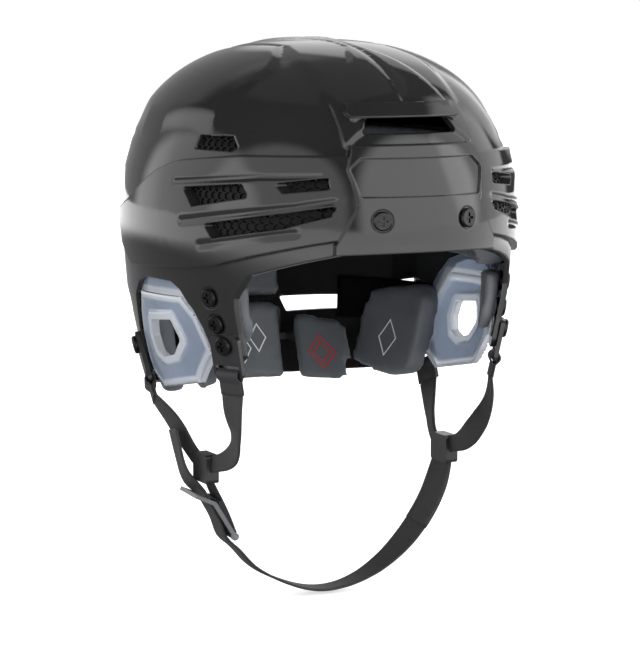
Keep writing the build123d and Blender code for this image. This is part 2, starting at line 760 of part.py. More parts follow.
def write_buckle():
    frame = buckle_frame()
    section = Plane(origin=frame.origin, x_dir=frame.x_dir, z_dir=-frame.y_dir)
    pin_place = (-tab_pin_setback, strap_thickness / 2 + buckle_thickness / 2)
    with BuildPart() as buckle_base:
        with BuildSketch(section):
            with Locations((buckle_length / 2 - buckle_setback, pin_place[1])):
                RectangleRounded(buckle_length, buckle_thickness, buckle_corner)
        extrude(amount=buckle_width / 2, both=True)
        with BuildSketch(section):
            with Locations(pin_place):
                Circle(pin_radius + pin_clearance)
        extrude(amount=buckle_width, both=True, mode=Mode.SUBTRACT)
        add(webbing(*buckle_route(), buckle_strap_steps), mode=Mode.SUBTRACT)
    write(buckle_base.part, "buckle_base")
    with BuildPart() as tab_pin:
        with BuildSketch(section):
            with Locations(pin_place):
                Circle(pin_radius)
        extrude(amount=tab_width / 2, both=True)
    write(tab_pin.part, "tab_pin")
    with BuildPart() as snap_tab:
        with BuildSketch(section):
            with BuildLine():
                Polyline(pin_place, *tab_path)
            trace(line_width=tab_thickness)
            with Locations(pin_place):
                Circle(tab_thickness)
        extrude(amount=tab_width / 2, both=True)
        with BuildSketch(frame.offset(-tab_width)):
            with Locations((tab_slot_start + tab_slot_length / 2, 0)):
                Rectangle(tab_slot_length, tab_width - 2 * tab_rail)
        extrude(amount=3 * tab_width, mode=Mode.SUBTRACT)
        with BuildSketch(section):
            with Locations(pin_place):
                Circle(pin_radius + pin_clearance)
        extrude(amount=tab_width, both=True, mode=Mode.SUBTRACT)
        add(webbing(*chin_route(), chin_strap_steps, clearance=tab_clearance), mode=Mode.SUBTRACT)
    write(snap_tab.part, "snap_tab")


# Fit dial
def tooth(height_sign, middle, base):
    """Corners of one rack tooth, from the root on one side to the root on the other."""
    pitch = math.pi * gear_module
    half_pitch_line = pitch * tooth_share / 2
    half_tip = pitch * tip_share / 2
    half_root = half_pitch_line + (half_pitch_line - half_tip) * dedendum_share / addendum_share
    root = base + height_sign * dedendum_share * gear_module
    tip = base - height_sign * addendum_share * gear_module
    return [(middle - half_root, root), (middle - half_tip, tip), (middle + half_tip, tip),
            (middle + half_root, root)]


def pinion_outline():
    """Straight-sided teeth round the pinion, with one tooth pointing straight up."""
    pitch_radius = gear_module * pinion_teeth / 2
    pitch = math.pi * gear_module
    half_pitch_line = pitch * tooth_share / 2
    half_tip = pitch * tip_share / 2
    half_root = half_pitch_line + (half_pitch_line - half_tip) * dedendum_share / addendum_share
    root = pitch_radius - dedendum_share * gear_module
    tip = pitch_radius + addendum_share * gear_module
    corners = []
    for number in range(pinion_teeth):
        turn = math.pi / 2 - 2 * math.pi * number / pinion_teeth
        for across, out in ((-half_root, root), (-half_tip, tip), (half_tip, tip), (half_root, root)):
            corners.append((out * math.cos(turn) + across * math.sin(turn),
                            out * math.sin(turn) - across * math.cos(turn)))
    return corners


def rack_outline(side):
    """A rack above the pinion for side 1 and below it for side -1, with a gap between teeth at x = 0."""
    pitch = math.pi * gear_module
    pitch_radius = gear_module * pinion_teeth / 2
    base = side * pitch_radius
    back = side * (pitch_radius + rack_height)
    corners = [(-rack_teeth_reach, back), (-rack_teeth_reach, base + side * dedendum_share * gear_module)]
    middle = pitch / 2 - pitch * rack_tooth_pairs
    while middle < rack_teeth_reach - pitch / 2:
        corners += tooth(side, middle, base)
        middle += pitch
    corners += [(rack_outer_end, base + side * dedendum_share * gear_module), (rack_outer_end, back)]
    return corners


def make_rack(side):
    """Rack with a foot that reaches forward to the rear pad of its side."""
    pitch_radius = gear_module * pinion_teeth / 2
    root = pitch_radius + dedendum_share * gear_module
    back = pitch_radius + rack_height
    plane = Plane(origin=(0, gear_place, -dial_height), x_dir=(1, 0, 0), z_dir=(0, -1, 0))
    with BuildPart() as rack:
        with BuildSketch(plane):
            with BuildLine():
                Polyline(*rack_outline(side), close=True)
            make_face()
        extrude(amount=gear_width)
        with BuildSketch(plane):
            with Locations((rack_outer_end - rack_foot / 2, side * (root + back) / 2)):
                Rectangle(rack_foot, back - root)
        extrude(amount=gear_place)
        add(dome(rear_pad_start), mode=Mode.SUBTRACT, clean=False)
        with BuildSketch(Plane.XZ):
            Rectangle(2 * reach_x, 2 * reach_z)
        extrude(amount=reach_y, mode=Mode.SUBTRACT)
    return rack.part


def write_fit_dial():
    centre = Plane(origin=(0, 0, -dial_height), x_dir=(-1, 0, 0), z_dir=(0, 1, 0))
    wall_face = half_length * plan_share(-dial_height)
    with BuildPart() as dial_housing:
        with BuildSketch(centre.offset(half_length / 2)):
            Circle(housing_radius)
        extrude(amount=wall_face + housing_height - half_length / 2)
        chamfer(dial_housing.faces().sort_by(Axis.Y)[-1].edges(), housing_corner)
        add(dome(0), mode=Mode.SUBTRACT, clean=False)
        with BuildSketch(centre):
            Circle(shaft_hole_radius)
        extrude(amount=2 * half_length, mode=Mode.SUBTRACT)
    write(dial_housing.part, "dial_housing")
    knob_base = wall_face + housing_height + knob_gap
    with BuildPart() as fit_dial_knob:
        with BuildSketch(centre.offset(knob_base)):
            Circle(knob_radius)
            with PolarLocations(knob_radius + flute_radius / 2, flute_count):
                Circle(flute_radius, mode=Mode.SUBTRACT)
        extrude(amount=knob_height)
        chamfer(fit_dial_knob.faces().sort_by(Axis.Y)[-1].edges(), knob_corner)
        with BuildSketch(centre.offset(plate_place)):
            Circle(shaft_radius)
        extrude(amount=knob_base - plate_place)
        with BuildSketch(centre.offset(gear_place - gear_width)):
            Circle(spigot_radius)
        extrude(amount=plate_place - gear_place + gear_width)
    write(fit_dial_knob.part, "fit_dial_knob")
    with BuildPart() as dial_pinion:
        with BuildSketch(centre.offset(gear_place - gear_width)):
            with BuildLine():
                Polyline(*pinion_outline(), close=True)
            make_face()
            Circle(spigot_radius + running_clearance, mode=Mode.SUBTRACT)
        extrude(amount=gear_width)
    write(dial_pinion.part, "dial_pinion")
    boss_places = ((-plate_boss_spacing / 2, 0), (plate_boss_spacing / 2, 0))
    post_places = ((-post_spacing / 2, 0), (post_spacing / 2, 0))
    with BuildPart() as dial_guide_plate:
        with BuildSketch(centre.offset(plate_place)):
            with Locations(*boss_places):
                Circle(plate_boss_radius)
        extrude(amount=half_length - plate_place)
        with BuildSketch(centre.offset(plate_place)):
            Circle(shaft_hole_radius + plate_thickness)
        extrude(amount=plate_thickness)
        add(dome(shell_wall), mode=Mode.INTERSECT, clean=False)
        with BuildSketch(centre.offset(plate_place)):
            RectangleRounded(plate_width, plate_height, plate_corner)
        extrude(amount=plate_thickness)
        with BuildSketch(centre):
            with Locations(*post_places):
                Circle(post_radius)
        extrude(amount=plate_place)
        add(dome(rear_pad_start), mode=Mode.SUBTRACT, clean=False)
        with BuildSketch(centre.offset(plate_place)):
            Circle(shaft_radius + running_clearance)
        extrude(amount=plate_thickness, mode=Mode.SUBTRACT)
        with BuildSketch(centre.offset(plate_place)):
            with Locations(*boss_places):
                Circle(plate_screw_radius + thread_clearance)
        extrude(amount=half_length, mode=Mode.SUBTRACT)
    write(dial_guide_plate.part, "dial_guide_plate")
    with BuildPart() as guide_plate_screws:
        with BuildSketch(centre.offset(plate_place - plate_screw_head_height)):
            with Locations(*boss_places):
                Circle(plate_screw_head_radius)
        extrude(amount=plate_screw_head_height)
        with BuildSketch(centre.offset(plate_place)):
            with Locations(*boss_places):
                Circle(plate_screw_radius)
        extrude(amount=plate_screw_length)
    write(guide_plate_screws.part, "guide_plate_screws")
    write(make_rack(-1), "left_rack")
    write(mirrored(make_rack(1)), "right_rack")


write(make_outer_shell(), "outer_shell")
write_fasteners()
write_liner()
write_ear_guards()
write_straps()
write_buckle()
write_fit_dial()
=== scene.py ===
"""Looks of the ice hockey helmet, laid out as a Blender add-on and run as a script.

Lengths in the tables are millimetres in the frame of the solids: +Z is up, the wearer faces -Y and
the wearer's left is +X. Everything that goes into a mesh is turned into metres.
"""

import math

import bmesh
import bpy
import numpy as np
from bpy.props import FloatProperty, FloatVectorProperty, IntProperty, PointerProperty
from bpy.types import Operator, Panel, PropertyGroup
from mathutils import Matrix, Vector


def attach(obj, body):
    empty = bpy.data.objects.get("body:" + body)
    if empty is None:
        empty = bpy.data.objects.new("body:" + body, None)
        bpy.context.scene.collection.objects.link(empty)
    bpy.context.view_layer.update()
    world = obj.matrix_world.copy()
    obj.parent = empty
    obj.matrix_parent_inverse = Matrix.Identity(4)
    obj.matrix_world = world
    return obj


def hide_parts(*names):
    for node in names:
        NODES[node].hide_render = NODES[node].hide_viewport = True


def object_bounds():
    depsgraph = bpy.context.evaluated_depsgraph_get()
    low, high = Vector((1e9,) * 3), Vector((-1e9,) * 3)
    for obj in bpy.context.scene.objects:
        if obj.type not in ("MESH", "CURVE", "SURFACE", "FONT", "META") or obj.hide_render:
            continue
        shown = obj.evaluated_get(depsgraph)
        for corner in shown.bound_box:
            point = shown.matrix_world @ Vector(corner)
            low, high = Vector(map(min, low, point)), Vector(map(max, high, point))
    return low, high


bl_info = {
    "name": "Ice hockey helmet",
    "version": (1, 0, 0),
    "blender": (4, 5, 0),
    "location": "3D View > Sidebar > Helmet",
    "description": "Builds the looks of a hockey helmet round its solids",
    "category": "Add Mesh",
}

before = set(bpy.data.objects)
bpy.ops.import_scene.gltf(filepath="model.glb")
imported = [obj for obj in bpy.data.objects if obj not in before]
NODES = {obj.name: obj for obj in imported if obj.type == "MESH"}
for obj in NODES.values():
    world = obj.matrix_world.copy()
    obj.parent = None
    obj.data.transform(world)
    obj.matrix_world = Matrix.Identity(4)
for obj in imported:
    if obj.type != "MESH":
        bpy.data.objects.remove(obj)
cad_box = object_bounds()
MM = 0.001

# The dome that the shell, the ear guards and the pads are layers of
HALF_WIDTH = 105.0
HALF_LENGTH = 135.0
CROWN = 102.0
CROWN_POWER = 2.5
SKIRT_DEPTH = 95.0
SKIRT_TAPER = 0.15
SKIRT_POWER = 1.8

# Grooves and soft ridges of the side band and the crown, seen from the side as (y, z)
SIDE_GROOVES = [
    ([(-38, 29.2), (-81, 33.4), (-92, 34.6), (-116, 35.6)], 0.8),
    ([(-46, 8.8), (-80, 14.2), (-110, 19.2), (-122, 22.6)], 0.8),
    ([(-60, -3.4), (-84, 1.0), (-110, 5.8)], 0.6),
]
# Raised areas of the crown seen from above, with x taken without its sign: outline, rise and half the
# width of the slope
CROWN_AREAS = [
    ([(-1, -112), (33, -112), (6, -48), (5, -30), (24, 60), (21, 94), (-1, 94)], 2.6, 6.0),
    ([(-1, -116), (38, -116), (38, -52), (31, -28), (36, 40), (31, 100), (-1, 100)], 1.5, 4.5),
    ([(31.5, -23), (51, -54), (62, -54), (84, -50), (93, -3), (92, 27), (78, 62), (42, 46)], 1.7, 4.0),
]
GROOVE_WIDTH = 1.7
GROOVE_START_X = 20.0
CROWN_START = 50.0
LIP_TOP = 71.0
LIP_REAR = -85.0
# A corner counts as facing out or in when the cosine between its face and the dome passes these
FACES_OUT = 0.94
FACES_IN = -0.96
OUTER_SKIN_DEPTH = 1.5
LONGEST_EDGE = 9.0
# Slots with a honeycomb in them, seen from the side as (y, z)
MESH_SLOTS = [
    [(-45, 26.7), (-53.4, 16.6), (-88.7, 23.5), (-84, 30.6)],
    [(-99.8, 31.4), (-104, 26.3), (-120.5, 29), (-119, 35.1)],
    [(-62.7, 8.1), (-68.2, 0.5), (-106, 8), (-122.6, 15), (-124, 20.5), (-108, 16.5)],
    [(-43.3, 46.9), (-43.6, 53.3), (-67.4, 53.9), (-73, 48.5), (-70.1, 46.7)],
]
# Outline and hole of an ear guard, seen from the side as (y, z)
GUARD_EDGE = [
    (-33.5, -34.2), (-45.2, -43.9), (-52.4, -63.2), (-36, -82), (12, -91), (25, -84), (30, -61.2),
    (24.3, -46.9), (17.6, -36),
]
GUARD_HOLE = [(5, -51), (-22, -48), (-28.4, -59), (-19, -68), (-5, -71.3), (3.6, -68.4), (7, -60)]

# Strap routes and facings, in millimetres
SIDE_ROUTE = [
    (79.62, -63.82, -84.43), (79.28, -63.45, -96.9), (74.02, -54.0, -117.3), (75.08, -27.0, -129.54),
    (75.81, -5.4, -129.54), (80.85, 10.8, -114.24), (87.93, 26.18, -99.95),
]
SIDE_FACINGS = [
    (0.884, -0.419, -0.207), (1, 0, 0.1), (1, 0, 0.1), (1, 0, 0.1), (1, 0, 0.1), (0.934, 0.27, -0.233),
]
SIDE_FOLDS = [1.0, 1.0, 1.0, 0.7, 0.55, 0.7, 1.0, 1.0]
CHIN_ROUTE = [
    (-85.57, 5.94, -114.04), (-83.79, 0.54, -130.05), (-81.8, -6.48, -140.96), (-74.44, -10.94, -150.04),
    (-72.03, -10.94, -155.04), (-66.05, -9.99, -165.95), (-62.79, -9.99, -174.52), (-55.97, -9.99, -181.05),
    (-47.25, -9.45, -190.54), (-28.04, -9.72, -202.98), (-1.99, -9.99, -210.63), (21.0, -10.8, -206.96),
    (43.05, -12.01, -194.0), (59.96, -13.5, -175.54), (70.35, -14.99, -155.96), (75.39, -16.06, -136.99),
]
CHIN_FACINGS = [
    (-1, 0.1, -0.1), (-1, 0.1, -0.2), (-1, 0, -0.3), (-1, 0, -0.45), (-1, 0, -0.45), (-1, 0, -0.45),
    (-1, 0, -0.6), (-0.8, 0, -0.8), (-0.6, 0, -1), (-0.3, 0, -1), (0, 0.1, -1), (0.4, 0.3, -1),
    (0.7, 0.55, -0.8), (1, 0.7, -0.6), (1, 0.6, -0.3), (1, 0.15, 0),
]
BUCKLE_ROUTE = [
    (-74.55, -14.99, -136.99), (-68.04, -12.01, -149.02), (-62.05, -10.94, -160.96), (-57.54, -9.99, -171.46),
]
BUCKLE_FACINGS = [(-1, 0, -0.1), (-0.906, 0, -0.423), (-0.906, 0, -0.423)]
CHIN_STEPS = 90
# The rings of the chin strap that its doubled, sewn end covers
HEM_ROWS = slice(74, 90)
# Centre of each anchor's bar, and the directions along the bar, up the hanger and out of the shell
LOOP_BARS = [
    ((81.56, -64.75, -74.26), (0.428, 0.904, 0.0), (0.187, -0.089, 0.978), (0.884, -0.419, -0.207)),
    ((88.69, 31.31, -90.94), (-0.349, 0.826, -0.441), (0.073, 0.494, 0.866), (0.934, 0.27, -0.233)),
]

PADS = {
    "helmet": ["front_liner_pad", "left_side_liner_pad", "right_side_liner_pad", "upper_rear_pad",
               "crown_liner_pad", "left_temple_pad", "right_temple_pad", "left_ear_pad", "right_ear_pad",
               "centre_rear_pad"],
    "left_adjuster": ["left_rear_pad"],
    "right_adjuster": ["right_rear_pad"],
}
HARDWARE = {
    "black_plastic": ["left_front_strap_hanger", "right_front_strap_hanger", "left_rear_strap_hanger",
                      "right_rear_strap_hanger", "left_strap_slider", "right_strap_slider", "buckle_base"],
    "dial_plastic": ["dial_housing", "dial_guide_plate", "fit_dial_knob", "dial_pinion", "left_rack",
                     "right_rack"],
    "dark_steel": ["front_cage_screws", "front_tee_nuts", "visor_screws", "visor_tee_nuts",
                   "strap_anchor_screws", "strap_anchor_nuts", "guide_plate_screws"],
    "bright_steel": ["tab_pin"],
    "tab_rubber": ["snap_tab"],
}


class HelmetSettings(PropertyGroup):
    """Sizes and colours that a user would change."""

    shell_colour: FloatVectorProperty(
        name="Shell colour", description="Colour of the moulded shell", subtype="COLOR",
        default=(0.011, 0.011, 0.0115), min=0, max=1)
    pad_colour: FloatVectorProperty(
        name="Pad colour", description="Colour of the foam pads' skin", subtype="COLOR",
        default=(0.12, 0.132, 0.146), min=0, max=1)
    guard_colour: FloatVectorProperty(
        name="Ear guard colour", description="Tint of the clear ear guards", subtype="COLOR",
        default=(0.45, 0.54, 0.7), min=0, max=1)
    strap_colour: FloatVectorProperty(
        name="Strap colour", description="Colour of the webbing", subtype="COLOR",
        default=(0.012, 0.012, 0.013), min=0, max=1)
    tab_colour: FloatVectorProperty(
        name="Tab colour", description="Colour of the snap tab", subtype="COLOR",
        default=(0.11, 0.112, 0.118), min=0, max=1)
    strap_width: FloatProperty(
        name="Strap width", description="Width of the flat webbing", subtype="DISTANCE",
        default=0.015, min=0.005)
    strap_thickness: FloatProperty(
        name="Strap thickness", description="Thickness of the webbing", subtype="DISTANCE",
        default=0.0015, min=0.0005)
    pad_cell: FloatProperty(
        name="Pad cell", description="Mesh size of the pads", subtype="DISTANCE", default=0.0026, min=0.001)
    pad_smoothing: IntProperty(
        name="Pad smoothing", description="How often the pads' corners are eased", default=7, min=0)
    floor_size: FloatProperty(
        name="Floor size", description="Side of the floor", subtype="DISTANCE", default=8.0, min=1.0)


# Working out the dome
def dome_depth(points):
    """How deep each point lies below the plain outer face, by halving an interval.

    Above the brow the face is ((x/a)^2 + (y/b)^2)^(p/2) + (z/c)^p = 1, with a, b and c less the depth;
    below it the plan shrinks by the skirt's taper.
    """
    x, y, z = points.T
    low = np.full(len(points), -9.0)
    high = np.full(len(points), 70.0)
    skirt = 1 - SKIRT_TAPER * (np.maximum(-z, 0) / SKIRT_DEPTH) ** SKIRT_POWER
    for _ in range(26):
        middle = (low + high) / 2
        plan = (x / (HALF_WIDTH - middle)) ** 2 + (y / (HALF_LENGTH - middle)) ** 2
        crown = plan ** (CROWN_POWER / 2) + (np.maximum(z, 0) / (CROWN - middle)) ** CROWN_POWER
        outside = np.where(z > 0, crown > 1, plan > skirt ** 2)
        high = np.where(outside, middle, high)
        low = np.where(outside, low, middle)
    return (low + high) / 2


def dome_normals(points, depth):
    """Unit gradient of the face that passes through each point."""
    x, y, z = points.T
    wide = HALF_WIDTH - depth
    long = HALF_LENGTH - depth
    plan = np.maximum((x / wide) ** 2 + (y / long) ** 2, 1e-9)
    power = CROWN_POWER / 2
    above = z > 0
    swell = np.where(above, power * plan ** (power - 1), 1.0)
    skirt = 1 - SKIRT_TAPER * (np.maximum(-z, 0) / SKIRT_DEPTH) ** SKIRT_POWER
    below = np.maximum(-z, 0) / SKIRT_DEPTH
    fall = SKIRT_TAPER * SKIRT_POWER / SKIRT_DEPTH * below ** (SKIRT_POWER - 1)
    tall = CROWN - depth
    climb = CROWN_POWER * (np.maximum(z, 0) / tall) ** (CROWN_POWER - 1) / tall
    up = np.where(above, climb, -2 * skirt * fall)
    normals = np.stack([swell * 2 * x / wide ** 2, swell * 2 * y / long ** 2, up], axis=1)
    return normals / np.linalg.norm(normals, axis=1)[:, None]


def line_distance(u, v, line):
    """Shortest distance from each point (u, v) to a line of straight runs."""
    best = np.full(len(u), 1e9)
    for (u0, v0), (u1, v1) in zip(line, line[1:]):
        run = (u1 - u0) ** 2 + (v1 - v0) ** 2
        share = np.clip(((u - u0) * (u1 - u0) + (v - v0) * (v1 - v0)) / run, 0, 1)
        best = np.minimum(best, np.hypot(u - u0 - share * (u1 - u0), v - v0 - share * (v1 - v0)))
    return best


def inside(u, v, outline):
    """Whether each point (u, v) lies in an outline, by counting the sides that a level ray crosses."""
    crossings = np.zeros(len(u), dtype=int)
    for (u0, v0), (u1, v1) in zip(outline, outline[1:] + outline[:1]):
        spans = (v0 > v) != (v1 > v)
        with np.errstate(divide="ignore", invalid="ignore"):
            crossing = u0 + (v - v0) * (u1 - u0) / (v1 - v0)
        crossings += spans & (u < crossing)
    return crossings % 2 == 1


def edge_distance(u, v, outline):
    """Distance from each point to an outline, above zero inside it."""
    distance = line_distance(u, v, outline + outline[:1])
    return np.where(inside(u, v, outline), distance, -distance)


def grooves(points):
    """Height of the side bands' grooves: depth * exp(-(distance from the line / width)^2), downwards."""
    x, y, z = points.T
    height = np.zeros(len(points))
    for line, depth in SIDE_GROOVES:
        sunk = depth * np.exp(-(line_distance(y, z, line) / GROOVE_WIDTH) ** 2)
        height -= sunk * (np.abs(x) > GROOVE_START_X)
    return height


def on_crown(points):
    """Whether each point lies above the side vents and behind the lip of the front vent."""
    _, y, z = points.T
    return (z > CROWN_START) & ((z > LIP_TOP) | (y > LIP_REAR))


def crown_rise(points):
    """Height of the crown's raised areas, each with a smooth slope across its outline.

    The slope is 3t^2 - 2t^3, with t going from 0 to 1 across the slope's width.
    """
    x, y, z = points.T
    height = np.zeros(len(points))
    for outline, rise, half in CROWN_AREAS:
        share = np.clip((edge_distance(np.abs(x), y, outline) + half) / (2 * half), 0, 1)
        height = np.maximum(height, rise * share * share * (3 - 2 * share))
    return height * on_crown(points)


def relief_normals(points, base, height):
    """The base normal less the part of the height's gradient that lies along the face."""
    step = 0.05
    slope = np.stack([(height(points + step * axis) - height(points - step * axis)) / (2 * step)
                      for axis in np.eye(3)], axis=1)
    slope -= np.sum(slope * base, axis=1)[:, None] * base
    normals = base - slope
    return normals / np.linalg.norm(normals, axis=1)[:, None]


def fineness(points):
    """Longest edge wanted at each point: it grows with the distance from grooves and slopes."""
    x, y, z = points.T
    longest = np.full(len(points), LONGEST_EDGE)
    for line, _ in SIDE_GROOVES:
        beside = 1.3 + 0.75 * np.maximum(line_distance(y, z, line) - 3.0, 0)
        longest = np.minimum(longest, np.where(np.abs(x) > GROOVE_START_X, beside, LONGEST_EDGE))
    for outline, _, half in CROWN_AREAS:
        beside = 3.2 + 0.75 * np.maximum(np.abs(edge_distance(np.abs(x), y, outline)) - half, 0)
        longest = np.minimum(longest, np.where(z > CROWN_START - 5, beside, LONGEST_EDGE))
    return longest


def guard_highlight_band(points):
    """1 on a band along the ear guard's outline and round its hole, easing to 0 over a millimetre: the mask
    of a painted highlight that makes the guard whiter there.
    """
    _, y, z = points.T
    edge = np.abs(edge_distance(y, z, GUARD_EDGE))
    hole = np.abs(edge_distance(y, z, GUARD_HOLE))
    return np.maximum(np.clip(4.2 - edge, 0, 1), np.clip(4.6 - hole, 0, 1))


def guard_cut(points):
    """How far the ear guard's face is lowered: most at the outline's bevel, not at all on the hole's rim."""
    _, y, z = points.T
    edge = np.clip(np.abs(edge_distance(y, z, GUARD_EDGE)) / 4.2, 0, 1)
    hole = np.clip((np.abs(edge_distance(y, z, GUARD_HOLE)) - 3.2) / 2.4, 0, 1)
    return 1.3 * (edge * (2 - edge) - 1) - 0.9 * edge * hole * hole * (3 - 2 * hole)


def guard_fineness(points):
    """Longest edge wanted on an ear guard: short where its face rises and falls."""
    _, y, z = points.T
    near = np.minimum(np.abs(edge_distance(y, z, GUARD_EDGE)), np.abs(edge_distance(y, z, GUARD_HOLE)))
    return 1.5 + 0.8 * np.maximum(near - 6.0, 0)


# Making meshes
def corner_array(data):
    corners = np.empty(len(data.vertices) * 3)
    data.vertices.foreach_get("co", corners)
    return corners.reshape(-1, 3)


def merged_copy(node, name):
    """A copy of a solid's mesh with its loose triangles joined."""
    data = NODES[node].data.copy()
    data.name = name
    data.materials.clear()
    body = bmesh.new()
    body.from_mesh(data)
    bmesh.ops.remove_doubles(body, verts=body.verts, dist=2e-6)
    body.to_mesh(data)
    body.free()
    piece = bpy.data.objects.new(name, data)
    bpy.context.scene.collection.objects.link(piece)
    return piece


def refine(piece, wanted, passes):
    """Splits every edge that is longer than wanted at its middle, pass by pass."""
    body = bmesh.new()
    body.from_mesh(piece.data)
    for _ in range(passes):
        ends = np.array([[*e.verts[0].co, *e.verts[1].co] for e in body.edges]) / MM
        lengths = np.linalg.norm(ends[:, :3] - ends[:, 3:], axis=1)
        split = lengths > wanted((ends[:, :3] + ends[:, 3:]) / 2)
        edges = [edge for edge, yes in zip(body.edges, split) if yes]
        if not edges:
            break
        bmesh.ops.subdivide_edges(body, edges=edges, cuts=1)
        bmesh.ops.triangulate(body, faces=body.faces[:])
    body.to_mesh(piece.data)
    body.free()


def face_corners(data):
    """The point and the face of every corner, every face's normal, and the corner at which it starts."""
    count = len(data.polygons)
    face_normals = np.empty(count * 3)
    data.polygons.foreach_get("normal", face_normals)
    loops = np.empty(len(data.loops), dtype=np.int32)
    data.loops.foreach_get("vertex_index", loops)
    starts = np.empty(count, dtype=np.int32)
    totals = np.empty(count, dtype=np.int32)
    data.polygons.foreach_get("loop_start", starts)
    data.polygons.foreach_get("loop_total", totals)
    owner = np.repeat(np.arange(count), totals)
    return loops, owner, face_normals.reshape(-1, 3), starts


def skin_points(data, base):
    """Whether each point is a corner of a face that faces outwards, as the dome does there."""
    loops, owner, face_normals, starts = face_corners(data)
    agree = np.sum(base[loops] * face_normals[owner], axis=1)
    skin = np.zeros(len(base), dtype=bool)
    skin[loops[(np.minimum.reduceat(agree, starts) > FACES_OUT)[owner]]] = True
    return skin


def ease_crown(piece):
    """Sets each point of the crown's outer face to the height of the eased areas, straight above its place.

    The height over the dome is H, so z = (c + H) * (1 - ((x/(a+H))^2 + (y/(b+H))^2)^(p/2))^(1/p).
    """
    points = corner_array(piece.data) / MM
    depth = dome_depth(points)
    base = dome_normals(points, depth)
    upward = base[:, 2]
    rise = crown_rise(points)
    skin = skin_points(piece.data, base)
    for outline, _, _ in CROWN_AREAS:
        skin |= np.abs(edge_distance(np.abs(points[:, 0]), points[:, 1], outline)) < 0.4
    plan = (points[:, 0] / (HALF_WIDTH + rise)) ** 2 + (points[:, 1] / (HALF_LENGTH + rise)) ** 2
    level = (CROWN + rise) * (1 - np.minimum(plan, 1) ** (CROWN_POWER / 2)) ** (1 / CROWN_POWER)
    moved = skin & (depth < 0.6) & (depth > -3.5) & on_crown(points) & (upward > 0.3)
    points[:, 2] = np.where(moved, level, points[:, 2])
    piece.data.vertices.foreach_set("co", (points * MM).ravel())
    body = bmesh.new()
    body.from_mesh(piece.data)
    bmesh.ops.remove_doubles(body, verts=body.verts, dist=3e-5)
    bmesh.ops.dissolve_degenerate(body, edges=body.edges, dist=1e-6)
    body.to_mesh(piece.data)
    body.free()


def smooth_faces(piece, shape=None, cut=None):
    """Lowers the outer face by the cut and gives each face of the dome the dome's own smooth normals."""
    data = piece.data
    points = corner_array(data) / MM
    depth = dome_depth(points)
    base = dome_normals(points, depth)
    loops, owner, face_normals, starts = face_corners(data)
    shaped = base if shape is None else relief_normals(points, base, shape)
    agree = np.sum(shaped[loops] * face_normals[owner], axis=1)
    shallow = np.minimum.reduceat(depth[loops], starts) < OUTER_SKIN_DEPTH
    outer_face = (np.minimum.reduceat(agree, starts) > FACES_OUT) & shallow
    agree = np.sum(base[loops] * face_normals[owner], axis=1)
    inner_face = np.maximum.reduceat(agree, starts) < FACES_IN
    normals = face_normals[owner].copy()
    if cut is not None:
        skin = np.zeros(len(points), dtype=bool)
        skin[loops[outer_face[owner]]] = True
        shaped = relief_normals(points, base, lambda spots: (shape(spots) if shape else 0) + cut(spots))
        points = points + base * (cut(points) * skin)[:, None]
        data.vertices.foreach_set("co", (points * MM).ravel())
    normals[outer_face[owner]] = shaped[loops[outer_face[owner]]]
    normals[inner_face[owner]] = -base[loops[inner_face[owner]]]
    data.polygons.foreach_set("use_smooth", np.ones(len(starts), dtype=bool))
    data.update()
    data.normals_split_custom_set(normals.tolist())


def apply_modifiers(piece):
    """Turns the piece with its modifiers into a plain mesh."""
    graph = bpy.context.evaluated_depsgraph_get()
    shaped = bpy.data.meshes.new_from_object(piece.evaluated_get(graph))
    piece.modifiers.clear()
    piece.data = shaped


def new_piece(name, points, faces, material):
    """An object from points in millimetres and faces, with its normals turned outwards."""
    data = bpy.data.meshes.new(name)
    data.from_pydata((points * MM).tolist(), [], faces)
    body = bmesh.new()
    body.from_mesh(data)
    bmesh.ops.recalc_face_normals(body, faces=body.faces[:])
    body.to_mesh(data)
    body.free()
    data.materials.append(material)
    piece = bpy.data.objects.new(name, data)
    bpy.context.scene.collection.objects.link(piece)
    return piece


def grid_piece(name, points, material, uv=None):
    """A closed tube from an array of rings: rows along it, columns round it, with a flat cap at each end."""
    rows, columns = points.shape[:2]
    row = np.arange(rows - 1)[:, None] * columns
    column = np.arange(columns)[None, :]
    after = (column + 1) % columns
    quads = np.stack([row + column, row + after, row + columns + after, row + columns + column], axis=2)
    faces = quads.reshape(-1, 4).tolist()
    faces.append(list(range(columns))[::-1])
    faces.append([(rows - 1) * columns + i for i in range(columns)])
    piece = new_piece(name, points.reshape(-1, 3), faces, material)
    data = piece.data
    if uv is not None:
        layer = data.uv_layers.new(name="UVMap")
        loops = np.empty(len(data.loops), dtype=np.int32)
        data.loops.foreach_get("vertex_index", loops)
        layer.data.foreach_set("uv", uv.reshape(-1, 2)[loops].ravel())
    data.polygons.foreach_set("use_smooth", np.ones(len(data.polygons), dtype=bool))
    return piece


